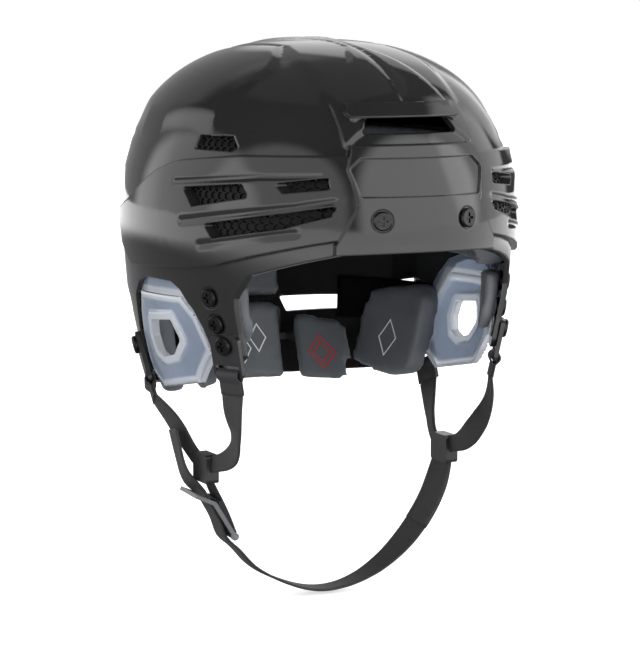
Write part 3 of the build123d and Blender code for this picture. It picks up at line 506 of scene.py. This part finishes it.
def spline(points, count):
    """Smooth line through the points, even steps along it: natural cubic runs on chord length."""
    points = np.array(points, dtype=float)
    knots = np.concatenate([[0], np.cumsum(np.linalg.norm(np.diff(points, axis=0), axis=1))])
    gaps = np.diff(knots)
    size = len(points)
    matrix = np.eye(size)
    right = np.zeros((size, 3))
    for i in range(1, size - 1):
        matrix[i, i - 1:i + 2] = gaps[i - 1], 2 * (gaps[i - 1] + gaps[i]), gaps[i]
        right[i] = 6 * ((points[i + 1] - points[i]) / gaps[i] - (points[i] - points[i - 1]) / gaps[i - 1])
    bends = np.linalg.solve(matrix, right)

    def at(values):
        cell = np.clip(np.searchsorted(knots, values, side="right") - 1, 0, size - 2)
        step = (values - knots[cell])[:, None]
        gap = gaps[cell][:, None]
        rise = (points[cell + 1] - points[cell]) / gap - gap * (2 * bends[cell] + bends[cell + 1]) / 6
        cubic = (bends[cell + 1] - bends[cell]) / (6 * gap)
        return points[cell] + step * (rise + step * (bends[cell] / 2 + step * cubic))

    fine = at(np.linspace(0, knots[-1], 800))
    along = np.concatenate([[0], np.cumsum(np.linalg.norm(np.diff(fine, axis=0), axis=1))])
    wanted = np.linspace(0, along[-1], count)
    return np.stack([np.interp(wanted, along, fine[:, k]) for k in range(3)], axis=1), wanted


def blended(values, count):
    """Values spread evenly along a route and blended between neighbours."""
    values = np.array(values, dtype=float).reshape(len(values), -1)
    places = np.linspace(0, len(values) - 1, count)
    steps = np.arange(len(values))
    return np.stack([np.interp(places, steps, column) for column in values.T], axis=1)


def strap_profile(width, thickness, steps=5):
    """Corners of a flat oval, as (across, out), for one ring of webbing."""
    turn = np.linspace(-np.pi / 2, np.pi / 2, steps)
    flat = width / 2 - thickness / 2
    right = np.stack([flat + np.cos(turn) * thickness / 2, np.sin(turn) * thickness / 2], axis=1)
    top = np.stack([np.linspace(flat, -flat, 9)[1:-1], np.full(7, thickness / 2)], axis=1)
    half = np.concatenate([right, top])
    return np.concatenate([half, -half])


def webbing(name, route, facings, count, material, width, thickness, folds=(1.0, 1.0), rows=slice(None)):
    """Webbing along a route: its flat oval profile is carried along and turned to face outwards.

    rows names the rings that are kept, for webbing that covers a part of the route.
    """
    line, along = spline(route, count)
    tangents = np.gradient(line, axis=0)
    tangents /= np.linalg.norm(tangents, axis=1)[:, None]
    faces = blended(facings, count)
    across = np.cross(faces, tangents)
    across /= np.linalg.norm(across, axis=1)[:, None]
    out = np.cross(tangents, across)
    fold = blended(folds, count)
    rings = []
    for step in range(count):
        profile = strap_profile(width * fold[step, 0], thickness * (2 - fold[step, 0]))
        rings.append(line[step] + profile[:, :1] * across[step] + profile[:, 1:] * out[step])
    rings = np.array(rings)[rows]
    across = np.repeat(strap_profile(width, thickness)[None, :, 0], len(rings), axis=0)
    uv = np.stack([np.repeat(along[rows, None], rings.shape[1], axis=1), across], axis=2) * MM
    return grid_piece(name, rings, material, uv)


def bar_loop(name, bar, material, width):
    """The strap's end folded round the bar of its hanger and sewn flat below it."""
    centre, along_bar, up, out = (np.array(v, dtype=float) for v in bar)
    radius, tail, neck, half_gap = 2.75, 11.2, 3.6, 0.75
    turn = np.linspace(1.25 * np.pi, 2.75 * np.pi, 25)
    rise = np.linspace(-tail, -neck, 6)
    heights = np.concatenate([rise, radius * np.cos(turn), rise[::-1]])
    sides = np.concatenate([np.full(6, -half_gap), radius * np.sin(turn), np.full(6, half_gap)])
    line = centre + heights[:, None] * up + sides[:, None] * out
    tangents = np.gradient(line, axis=0)
    tangents /= np.linalg.norm(tangents, axis=1)[:, None]
    normals = np.cross(tangents, along_bar)
    profile = strap_profile(width, 1.3)
    rings = line[:, None, :] + profile[None, :, :1] * along_bar + profile[None, :, 1:] * normals[:, None, :]
    steps = np.concatenate([[0], np.cumsum(np.linalg.norm(np.diff(line, axis=0), axis=1))])
    uv = np.stack([np.repeat(steps[:, None], len(profile), axis=1),
                   np.repeat(profile[None, :, 0], len(line), axis=0)], axis=2) * MM
    return grid_piece(name, rings, material, uv)


def lining_strip(name, material):
    """A moulded strip inside the shell's rear corner: rounded sections of (depth, z) laid on the dome."""
    turn = np.linspace(0, 2 * np.pi, 20, endpoint=False)
    depth = 5.2 + 1.5 * np.sign(np.cos(turn)) * np.abs(np.cos(turn)) ** 0.5
    z = -56.0 + 12.4 * np.sign(np.sin(turn)) * np.abs(np.sin(turn)) ** 0.4
    share = 1 - SKIRT_TAPER * (-z / SKIRT_DEPTH) ** SKIRT_POWER
    angle = np.linspace(0.7, 1.33, 16)[:, None]
    x = (HALF_WIDTH - depth) * share * np.sin(angle)
    y = (HALF_LENGTH - depth) * share * np.cos(angle)
    return grid_piece(name, np.stack([x, y, np.broadcast_to(z, x.shape)], axis=2), material)


def honeycomb(name, slots, material, radius=2.6, wall=0.45, top=1.6, floor=3.12):
    """Hexagonal cups set in the slots, on both sides, each with its rim and floor on layers of the dome.

    A cup's corners are centre + radius * (cos, sin) of every sixth of a turn, laid on the dome at a depth.
    """
    turn = np.arange(6) * np.pi / 3 + np.pi / 6
    hexagon = np.stack([np.cos(turn), np.sin(turn)], axis=1)
    step_y, step_z = radius * math.sqrt(3), radius * 1.5
    centres = []
    for row in range(-40, 41):
        for column in range(-60, 61):
            centres.append((column * step_y + (row % 2) * step_y / 2, row * step_z))
    centres = np.array(centres)
    kept = np.zeros(len(centres), dtype=bool)
    for outline in slots:
        kept |= edge_distance(centres[:, 0], centres[:, 1], outline) > -1.2
    centres = centres[kept]
    rings = []
    for size, depth in ((radius, floor), (radius, top), (radius - wall, top), (radius - wall, floor - 0.5)):
        flat = centres[:, None, :] + size * hexagon[None, :, :]
        y, z = flat[..., 0].ravel(), flat[..., 1].ravel()
        share = (1 - (np.maximum(z, 0) / (CROWN - depth)) ** CROWN_POWER) ** (1 / CROWN_POWER)
        x = (HALF_WIDTH - depth) * np.sqrt(share ** 2 - (y / (HALF_LENGTH - depth)) ** 2)
        rings.append(np.stack([x, y, z], axis=1).reshape(len(centres), 6, 3))
    cups = np.stack(rings, axis=1).reshape(-1, 3)
    ring = np.arange(3)[:, None] * 6
    corner = np.arange(6)[None, :]
    after = (corner + 1) % 6
    walls = np.stack([ring + corner, ring + after, ring + 6 + after, ring + 6 + corner], axis=2)
    walls = walls.reshape(-1, 4)
    faces = []
    for start in np.arange(len(centres)) * 24:
        faces += (walls + start).tolist()
        faces += [(np.arange(6)[::-1] + start).tolist(), (np.arange(6) + 18 + start).tolist()]
    other = [[index + len(cups) for index in face[::-1]] for face in faces]
    return new_piece(name, np.concatenate([cups, cups * (-1, 1, 1)]), faces + other, material)


def mirror_piece(piece, name):
    """The same piece on the helmet's other side, with its faces turned back outwards."""
    data = piece.data.copy()
    data.name = name
    data.transform(Matrix.Scale(-1, 4, (1, 0, 0)))
    data.flip_normals()
    other = bpy.data.objects.new(name, data)
    bpy.context.scene.collection.objects.link(other)
    return other


# Materials
def add_node(tree, kind, inputs=None, **settings):
    """Adds a node. inputs gives each of its sockets a value, or the output that is linked to it."""
    node = tree.nodes.new(kind)
    for name, value in settings.items():
        setattr(node, name, value)
    for socket, value in (inputs or {}).items():
        if isinstance(value, bpy.types.NodeSocket):
            tree.links.new(value, node.inputs[socket])
        else:
            node.inputs[socket].default_value = value
    return node


class Paint:
    """A node material with a Principled shader, and short ways to add nodes to it."""

    def __init__(self, name, colour, roughness, **sockets):
        self.material = bpy.data.materials.new(name)
        self.material.use_nodes = True
        self.tree = self.material.node_tree
        self.shader = self.tree.nodes["Principled BSDF"]
        self.set("Base Color", (*colour, 1))
        self.set("Roughness", roughness)
        for socket, value in sockets.items():
            self.set(socket.replace("_", " "), value)
        self.place = self.node("ShaderNodeTexCoord").outputs["Object"]

    def set(self, socket, value):
        self.shader.inputs[socket].default_value = value

    def node(self, kind, inputs=None, **settings):
        return add_node(self.tree, kind, inputs, **settings)

    def link(self, source, target):
        self.tree.links.new(source, target)

    def noise(self, scale, detail=3.0):
        inputs = {"Scale": scale, "Detail": detail, "Vector": self.place}
        return self.node("ShaderNodeTexNoise", inputs).outputs["Fac"]

    def maths(self, operation, first, second=0.0, third=0.0):
        return self.node("ShaderNodeMath", {0: first, 1: second, 2: third}, operation=operation).outputs[0]

    def between(self, fac, low, high):
        """low where fac is 0 and high where it is 1."""
        inputs = {"To Min": low, "To Max": high, "Value": fac}
        return self.node("ShaderNodeMapRange", inputs).outputs["Result"]

    def mix(self, fac, first, second):
        """Mixes two colours by fac."""
        first, second = ((*ink, 1) if isinstance(ink, tuple) else ink for ink in (first, second))
        return self.node("ShaderNodeMix", {0: fac, 6: first, 7: second}, data_type="RGBA").outputs[2]

    def bump(self, height, strength, distance, base=None):
        node = self.node("ShaderNodeBump", {"Strength": strength, "Distance": distance, "Height": height})
        if base is not None:
            self.link(base, node.inputs["Normal"])
        self.link(node.outputs["Normal"], self.shader.inputs["Normal"])


def gloss_black(colour):
    """Moulded shell: deep gloss, a faint ripple of the mould, and rounded edges."""
    paint = Paint("gloss_black", colour, 0.1)
    edges = paint.node("ShaderNodeBevel", {"Radius": 1.3 * MM}, samples=6)
    ripple = paint.noise(38.0, 2.0)
    paint.bump(ripple, 0.08, 0.0006, edges.outputs["Normal"])
    paint.link(paint.between(paint.noise(160.0), 0.03, 0.11), paint.shader.inputs["Roughness"])
    tint = tuple(min(1.0, part * 1.9) for part in colour)
    paint.link(paint.mix(paint.noise(9.0), colour, tint), paint.shader.inputs["Base Color"])
    return paint.material


def outline(paint, across, up, centre, size, thickness):
    """1 on the outline of a tall lozenge, 0 elsewhere: where |u| + 0.62 |v| comes near its size."""
    u = paint.maths("ABSOLUTE", paint.maths("SUBTRACT", across, centre[0]))
    v = paint.maths("ABSOLUTE", paint.maths("SUBTRACT", up, centre[1]))
    span = paint.maths("MULTIPLY_ADD", v, 0.62, u)
    gap = paint.maths("ABSOLUTE", paint.maths("SUBTRACT", span, size))
    return paint.maths("LESS_THAN", gap, thickness)


def foam(colour, name, marks=()):
    """Skinned foam: fine leathery grain, slightly uneven colour, and printed lozenge outlines."""
    paint = Paint(name, colour, 0.5, Sheen_Weight=0.1)
    dark = tuple(part * 0.62 for part in colour)
    shade = paint.mix(paint.noise(55.0), dark, colour)
    split = paint.node("ShaderNodeSeparateXYZ")
    paint.link(paint.place, split.inputs[0])
    x, y, z = split.outputs
    for axis, centre, size, ink in marks:
        across = x if axis == "x" else y
        mark = outline(paint, across, z, [value * MM for value in centre], size * MM, 0.42 * MM)
        shade = paint.mix(mark, shade, ink)
    paint.link(shade, paint.shader.inputs["Base Color"])
    grain = paint.maths("ADD", paint.noise(900.0, 2.0), paint.maths("MULTIPLY", paint.noise(240.0, 2.0), 1.5))
    paint.bump(grain, 0.25, 0.0004)
    paint.link(paint.between(paint.noise(120.0), 0.38, 0.6), paint.shader.inputs["Roughness"])
    return paint.material


def clear_plastic(colour):
    """Frosted clear guard with a cool tint. Its edges, and a band along its outline and round its hole, are
    painted whiter than its faces as a painted highlight.
    """
    paint = Paint("clear_guard", colour, 0.2, Transmission_Weight=0.55, IOR=1.42, Coat_Weight=0.5,
                  Coat_Roughness=0.08)
    edges = paint.node("ShaderNodeBevel", {"Radius": 1.5 * MM}, samples=6)
    flat = paint.node("ShaderNodeNewGeometry")
    facing = paint.node("ShaderNodeVectorMath", {0: edges.outputs["Normal"], 1: flat.outputs["Normal"]},
                        operation="DOT_PRODUCT")
    turned = {"From Min": 0.998, "From Max": 0.9, "Value": facing.outputs["Value"]}
    edge = paint.node("ShaderNodeMapRange", turned)
    deep = tuple(part * 0.6 for part in colour)
    body = paint.mix(paint.noise(34.0), deep, colour)
    # Painted highlight: the band along the outline and round the hole is mixed towards white.
    band = paint.node("ShaderNodeAttribute", attribute_name="band").outputs["Fac"]
    body = paint.mix(paint.maths("MULTIPLY", band, 0.75), body, (0.93, 0.96, 1.0))
    # Painted highlight: where the rounded-edge normal turns away from the face's normal, on the guard's
    # edges, the colour is mixed towards white.
    whole = paint.mix(edge.outputs["Result"], body, (0.99, 0.995, 1.0))
    paint.link(whole, paint.shader.inputs["Base Color"])
    paint.link(paint.between(paint.noise(210.0), 0.12, 0.26), paint.shader.inputs["Roughness"])
    paint.bump(paint.noise(70.0), 0.1, 0.0005, edges.outputs["Normal"])
    return paint.material


def woven(colour):
    """Webbing: ribs across, threads along, and a raised border, all read from the strap's UV map."""
    paint = Paint("webbing", colour, 0.6, Sheen_Weight=0.06, Sheen_Roughness=0.4)
    uv = paint.node("ShaderNodeUVMap", uv_map="UVMap")
    split = paint.node("ShaderNodeSeparateXYZ")
    paint.link(uv.outputs[0], split.inputs[0])
    along, across, _ = split.outputs
    ribs = paint.maths("SINE", paint.maths("MULTIPLY", along, 2 * math.pi / 0.0013))
    threads = paint.maths("SINE", paint.maths("MULTIPLY", across, 2 * math.pi / 0.0011))
    cloth = paint.maths("MULTIPLY", ribs, threads)
    height = paint.maths("MULTIPLY_ADD", cloth, 0.5, 0.5)
    light = tuple(min(1.0, part * 2.3) for part in colour)
    paint.link(paint.mix(height, colour, light), paint.shader.inputs["Base Color"])
    fuzz = paint.maths("ADD", height, paint.maths("MULTIPLY", paint.noise(1400.0, 2.0), 0.6))
    paint.bump(fuzz, 0.6, 0.0003)
    return paint.material


def plastic(name, colour, roughness, shine=0.5):
    """Moulded fitting with a fine spark grain."""
    paint = Paint(name, colour, roughness, Specular_IOR_Level=shine, Coat_Weight=0.3 * shine,
                  Coat_Roughness=0.2)
    light = tuple(min(1.0, part * 1.6) for part in colour)
    paint.link(paint.mix(paint.noise(80.0), colour, light), paint.shader.inputs["Base Color"])
    uneven = paint.between(paint.noise(150.0), roughness * 0.75, roughness * 1.25)
    paint.link(uneven, paint.shader.inputs["Roughness"])
    paint.bump(paint.noise(840.0, 2.0), 0.2, 0.0002)
    return paint.material


def steel(name, tone):
    """Steel with turned marks worn lighter."""
    paint = Paint(name, (tone, tone, tone), 0.3, Metallic=0.9)
    worn = paint.mix(paint.noise(260.0), (0.35 * tone,) * 3, (1.5 * tone,) * 3)
    paint.link(worn, paint.shader.inputs["Base Color"])
    paint.link(paint.between(paint.noise(500.0), 0.2, 0.42), paint.shader.inputs["Roughness"])
    paint.bump(paint.noise(1100.0, 2.0), 0.15, 0.0002)
    return paint.material


def set_material(node, material):
    piece = NODES[node]
    if not piece.material_slots:
        piece.data.materials.append(material)
    for slot in piece.material_slots:
        slot.material = material


def look_at(thing, place, target):
    """Puts a camera or light at a place, looking at the target."""
    thing.location = place
    thing.rotation_euler = (Vector(target) - Vector(place)).to_track_quat("-Z", "Y").to_euler()


class HELMET_OT_stage(Operator):
    """Adds the floor, the background, soft lights and the camera."""

    bl_idname = "helmet.stage"
    bl_label = "Stage"
    dim = 0.07
    soft_light = 0.72
    fade_share = 0.35
    floor_glow = 0.62
    floor_tone = (0.86, 0.86, 0.87, 1)
    mirrored_tone = (0.24, 0.24, 0.245, 1)
    # Reflections see the floor glow from this distance outwards, measured from a point behind the object
    far_centre = (0.0, 0.7, 0.0)
    far_glow = {"From Min": 1.0, "From Max": 1.8, "To Max": 2.1}
    camera_target = (0.00207, -0.0030, -0.060)
    camera_direction = (-0.430, -0.893, 0.132)
    camera_distance = 1.6
    # Direction of each soft glow, the cosine at which it begins, and its strength
    glows = [
        ((-0.85, 0.5, -0.15), 0.72, 1.4),
        ((-0.92, -0.35, 0.05), 0.72, 1.2),
        ((0.42, -0.9, 0.12), 0.6, 2.5),
        ((0.1, 0.42, 0.9), 0.88, 0.12),
        ((0.97, -0.1, 0.3), 0.8, 1.4),
        ((0.05, 0.98, 0.08), 0.72, 0.3),
        ((0.6, 0.72, 0.35), 0.93, 0.8),
    ]

    def execute(self, context):
        scene = context.scene
        settings = scene.helmet
        scene.view_settings.view_transform = "Standard"
        lowest = cad_box[0][2] - 0.002
        half = settings.floor_size / 2
        data = bpy.data.meshes.new("floor")
        corners = [(-half, -half), (half, -half), (half, half), (-half, half)]
        data.from_pydata([(x, y, lowest) for x, y in corners], [], [(0, 1, 2, 3)])
        floor = bpy.data.objects.new("floor", data)
        scene.collection.objects.link(floor)
        data.materials.append(self.floor_material())
        self.make_world(scene)
        self.make_lights(scene)
        camera = bpy.data.objects.new("camera", bpy.data.cameras.new("camera"))
        scene.collection.objects.link(camera)
        camera.data.lens = 154.4
        camera.data.sensor_width = 36.0
        target = Vector(self.camera_target)
        back = Vector(self.camera_direction).normalized()
        look_at(camera, target + self.camera_distance * back, target)
        camera.data.clip_start = 0.05
        camera.data.clip_end = 50.0
        scene.camera = camera
        return {"FINISHED"}

    def seen_directly(self, tree, paths):
        """1 for rays from the camera and through clear plastic, 0 for others."""
        rays = {0: paths.outputs["Is Camera Ray"], 1: paths.outputs["Is Transmission Ray"]}
        return add_node(tree, "ShaderNodeMath", rays, operation="MAXIMUM").outputs[0]

    def floor_material(self):
        """White to the camera, with the object's shadow kept; reflections see it bright only far out."""
        material = bpy.data.materials.new("floor_white")
        material.use_nodes = True
        tree = material.node_tree
        shader = tree.nodes["Principled BSDF"]
        shader.inputs["Roughness"].default_value = 0.9
        paths = add_node(tree, "ShaderNodeLightPath")
        glossy = paths.outputs["Is Glossy Ray"]
        place = add_node(tree, "ShaderNodeTexCoord")
        reach = add_node(tree, "ShaderNodeVectorMath", {0: place.outputs["Object"], 1: self.far_centre},
                         operation="DISTANCE")
        far = add_node(tree, "ShaderNodeMapRange", {"Value": reach.outputs["Value"], **self.far_glow},
                       interpolation_type="SMOOTHSTEP")
        mirrored = add_node(tree, "ShaderNodeMath", {0: glossy, 1: far.outputs["Result"]},
                            operation="MULTIPLY")
        level = {0: self.seen_directly(tree, paths), 1: self.floor_glow, 2: mirrored.outputs[0]}
        level = add_node(tree, "ShaderNodeMath", level, operation="MULTIPLY_ADD")
        glow = add_node(tree, "ShaderNodeEmission", {"Strength": level.outputs[0]})
        tone = add_node(tree, "ShaderNodeMix", {0: glossy, 6: self.floor_tone, 7: self.mirrored_tone},
                        data_type="RGBA")
        tree.links.new(tone.outputs[2], shader.inputs["Base Color"])
        both = add_node(tree, "ShaderNodeAddShader", {0: shader.outputs[0], 1: glow.outputs[0]})
        tree.links.new(both.outputs[0], tree.nodes["Material Output"].inputs["Surface"])
        return material

    def make_world(self, scene):
        """White behind the object, an even grey for soft light, and soft glows for its reflections."""
        world = bpy.data.worlds.new("studio")
        scene.world = world
        world.use_nodes = True
        tree = world.node_tree
        back = tree.nodes["Background"]
        back.inputs["Color"].default_value = (1, 1, 1, 1)
        paths = add_node(tree, "ShaderNodeLightPath")
        place = add_node(tree, "ShaderNodeTexCoord")
        sky = self.dim
        for direction, start, strength in self.glows:
            facing = {0: place.outputs["Generated"], 1: Vector(direction).normalized()}
            facing = add_node(tree, "ShaderNodeVectorMath", facing, operation="DOT_PRODUCT")
            fade = {"From Min": start, "From Max": start + (1 - start) * self.fade_share, "To Max": strength,
                    "Value": facing.outputs["Value"]}
            glow = add_node(tree, "ShaderNodeMapRange", fade, interpolation_type="SMOOTHSTEP")
            sky = add_node(tree, "ShaderNodeMath", {0: sky, 1: glow.outputs["Result"]}).outputs[0]
        glossy = paths.outputs["Is Glossy Ray"]
        mirror = add_node(tree, "ShaderNodeMix", {0: glossy, 2: self.soft_light, 3: sky}).outputs[0]
        level = {0: self.seen_directly(tree, paths), 2: mirror, 3: 1.0}
        level = add_node(tree, "ShaderNodeMix", level)
        tree.links.new(level.outputs[0], back.inputs["Strength"])

    def make_lights(self, scene):
        """Large soft panels: one high on each side, one in front and one behind."""
        panels = [
            ("panel_left", (-1.5, -0.9, 0.9), 1.5, 16.0),
            ("panel_right", (1.5, -0.8, 0.7), 1.2, 11.0),
            ("panel_front", (0.3, -2.0, 0.2), 1.1, 7.0),
            ("panel_back", (0.3, 1.6, 1.0), 1.4, 9.0),
        ]
        for name, place, size, power in panels:
            lamp = bpy.data.lights.new(name, "AREA")
            lamp.shape = "RECTANGLE"
            lamp.size = size
            lamp.size_y = size * 0.7
            lamp.energy = power
            light = bpy.data.objects.new(name, lamp)
            light.visible_glossy = False
            scene.collection.objects.link(light)
            look_at(light, place, (0, 0, -0.02))


class HELMET_OT_shell(Operator):
    """Smooths the shell, sinks the grooves of its side bands and gives it its gloss."""

    bl_idname = "helmet.shell"
    bl_label = "Shell"

    def execute(self, context):
        piece = merged_copy("outer_shell", "shell")
        refine(piece, fineness, 7)
        ease_crown(piece)
        smooth_faces(piece, crown_rise, grooves)
        piece.data.materials.append(gloss_black(tuple(context.scene.helmet.shell_colour)))
        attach(piece, "helmet")
        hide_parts("outer_shell")
        return {"FINISHED"}


class HELMET_OT_ear_guards(Operator):
    """Gives the clear ear guards their smooth faces and frosted plastic."""

    bl_idname = "helmet.ear_guards"
    bl_label = "Ear guards"

    def execute(self, context):
        material = clear_plastic(tuple(context.scene.helmet.guard_colour))
        for side in ("left", "right"):
            piece = merged_copy(f"{side}_ear_guard", f"{side}_guard")
            refine(piece, guard_fineness, 7)
            # The band attribute carries the mask of the painted highlight along the guard's outline and round
            # its hole.
            band = piece.data.attributes.new("band", "FLOAT", "POINT")
            band.data.foreach_set("value", guard_highlight_band(corner_array(piece.data) / MM))
            smooth_faces(piece, cut=guard_cut)
            piece.data.materials.append(material)
            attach(piece, "helmet")
            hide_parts(f"{side}_ear_guard")
        return {"FINISHED"}


class HELMET_OT_pads(Operator):
    """Models every pad as soft skinned foam with eased corners."""

    bl_idname = "helmet.pads"
    bl_label = "Pads"

    def execute(self, context):
        settings = context.scene.helmet
        colour = tuple(settings.pad_colour)
        white = (0.8, 0.82, 0.84)
        red = (0.42, 0.03, 0.04)
        plain = foam(colour, "foam_plain")
        marked = {
            "centre_rear_pad": foam(colour, "foam_centre", [("x", (-5, -84), 5.0, white),
                                                            ("x", (5, -78), 5.0, white)]),
            "left_rear_pad": foam(colour, "foam_left_wing", [("x", (38, -86), 6.0, red),
                                                             ("x", (38, -86), 3.6, red)]),
            "right_rear_pad": foam(colour, "foam_right_wing", [("x", (-38, -86), 6.0, red),
                                                               ("x", (-38, -86), 3.6, red)]),
            "left_ear_pad": foam(colour, "foam_left_ear", [("y", (44, -76), 6.5, white)]),
            "right_ear_pad": foam(colour, "foam_right_ear", [("y", (44, -76), 6.5, white)]),
        }
        for body, names in PADS.items():
            for node in names:
                piece = merged_copy(node, f"soft_{node}")
                remesh = piece.modifiers.new("even", "REMESH")
                remesh.mode = "VOXEL"
                remesh.voxel_size = settings.pad_cell
                ease = piece.modifiers.new("ease", "SMOOTH")
                ease.factor = 0.5
                ease.iterations = settings.pad_smoothing
                apply_modifiers(piece)
                smooth = np.ones(len(piece.data.polygons), dtype=bool)
                piece.data.polygons.foreach_set("use_smooth", smooth)
                piece.data.materials.clear()
                piece.data.materials.append(marked.get(node, plain))
                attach(piece, body)
                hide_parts(node)
        return {"FINISHED"}


class HELMET_OT_straps(Operator):
    """Lays the woven side straps, the chin strap and the buckle strap."""

    bl_idname = "helmet.straps"
    bl_label = "Straps"

    def execute(self, context):
        settings = context.scene.helmet
        material = woven(tuple(settings.strap_colour))
        width = settings.strap_width / MM
        thick = settings.strap_thickness / MM
        side = webbing("left_side_webbing", SIDE_ROUTE, SIDE_FACINGS, 60, material, width, thick, SIDE_FOLDS)
        pieces = [(side, "left_side_strap"), (mirror_piece(side, "right_side_webbing"), "right_side_strap")]
        for place, bar in zip(("front", "rear"), LOOP_BARS):
            loop = bar_loop(f"left_{place}_loop", bar, material, width)
            pieces += [(loop, None), (mirror_piece(loop, f"right_{place}_loop"), None)]
        chin = webbing("chin_webbing", CHIN_ROUTE, CHIN_FACINGS, CHIN_STEPS, material, width, thick)
        tail = webbing("buckle_webbing", BUCKLE_ROUTE, BUCKLE_FACINGS, 24, material, width, thick)
        hem = webbing("chin_hem", CHIN_ROUTE, CHIN_FACINGS, CHIN_STEPS, material, width + 0.5,
                      2 * thick + 0.3, rows=HEM_ROWS)
        pieces += [(chin, "chin_strap"), (tail, "buckle_strap"), (hem, None)]
        for piece, node in pieces:
            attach(piece, "helmet")
            if node:
                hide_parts(node)
        return {"FINISHED"}


class HELMET_OT_vent_mesh(Operator):
    """Sets a dark honeycomb in the slots of the side bands."""

    bl_idname = "helmet.vent_mesh"
    bl_label = "Vent mesh"

    def execute(self, context):
        black = plastic("mesh_black", (0.003, 0.003, 0.0035), 0.45, 0.1)
        strip = lining_strip("left_corner_lining", black)
        for piece in (honeycomb("vent_honeycomb", MESH_SLOTS, black), strip,
                      mirror_piece(strip, "right_corner_lining")):
            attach(piece, "helmet")
        return {"FINISHED"}


class HELMET_OT_hardware(Operator):
    """Finishes the screws, hangers, sliders, buckle and fit dial."""

    bl_idname = "helmet.hardware"
    bl_label = "Hardware"

    def execute(self, context):
        materials = {
            "black_plastic": plastic("black_plastic", (0.012, 0.012, 0.013), 0.35),
            "dial_plastic": plastic("dial_plastic", (0.02, 0.02, 0.022), 0.42),
            "dark_steel": steel("dark_steel", 0.03),
            "bright_steel": steel("bright_steel", 0.5),
            "tab_rubber": plastic("tab_rubber", tuple(context.scene.helmet.tab_colour), 0.42),
        }
        for finish, names in HARDWARE.items():
            for name in names:
                set_material(name, materials[finish])
        return {"FINISHED"}


class HELMET_PT_panel(Panel):
    """Lists the helmet's sizes, colours and steps."""

    bl_label = "Hockey helmet"
    bl_idname = "HELMET_PT_panel"
    bl_space_type = "VIEW_3D"
    bl_region_type = "UI"
    bl_category = "Helmet"

    def draw(self, context):
        settings = context.scene.helmet
        for name in HelmetSettings.__annotations__:
            self.layout.prop(settings, name)
        for operator in OPERATORS:
            self.layout.operator(operator.bl_idname)


OPERATORS = (HELMET_OT_stage, HELMET_OT_shell, HELMET_OT_vent_mesh, HELMET_OT_ear_guards, HELMET_OT_pads,
             HELMET_OT_straps, HELMET_OT_hardware)
CLASSES = (HelmetSettings, *OPERATORS, HELMET_PT_panel)


def register():
    for kind in CLASSES:
        bpy.utils.register_class(kind)
    bpy.types.Scene.helmet = PointerProperty(type=HelmetSettings)


def unregister():
    del bpy.types.Scene.helmet
    for kind in reversed(CLASSES):
        bpy.utils.unregister_class(kind)


def main():
    register()
    for operator in OPERATORS:
        group, name = operator.bl_idname.split(".")
        getattr(getattr(bpy.ops, group), name)()


if __name__ == "__main__":
    main()
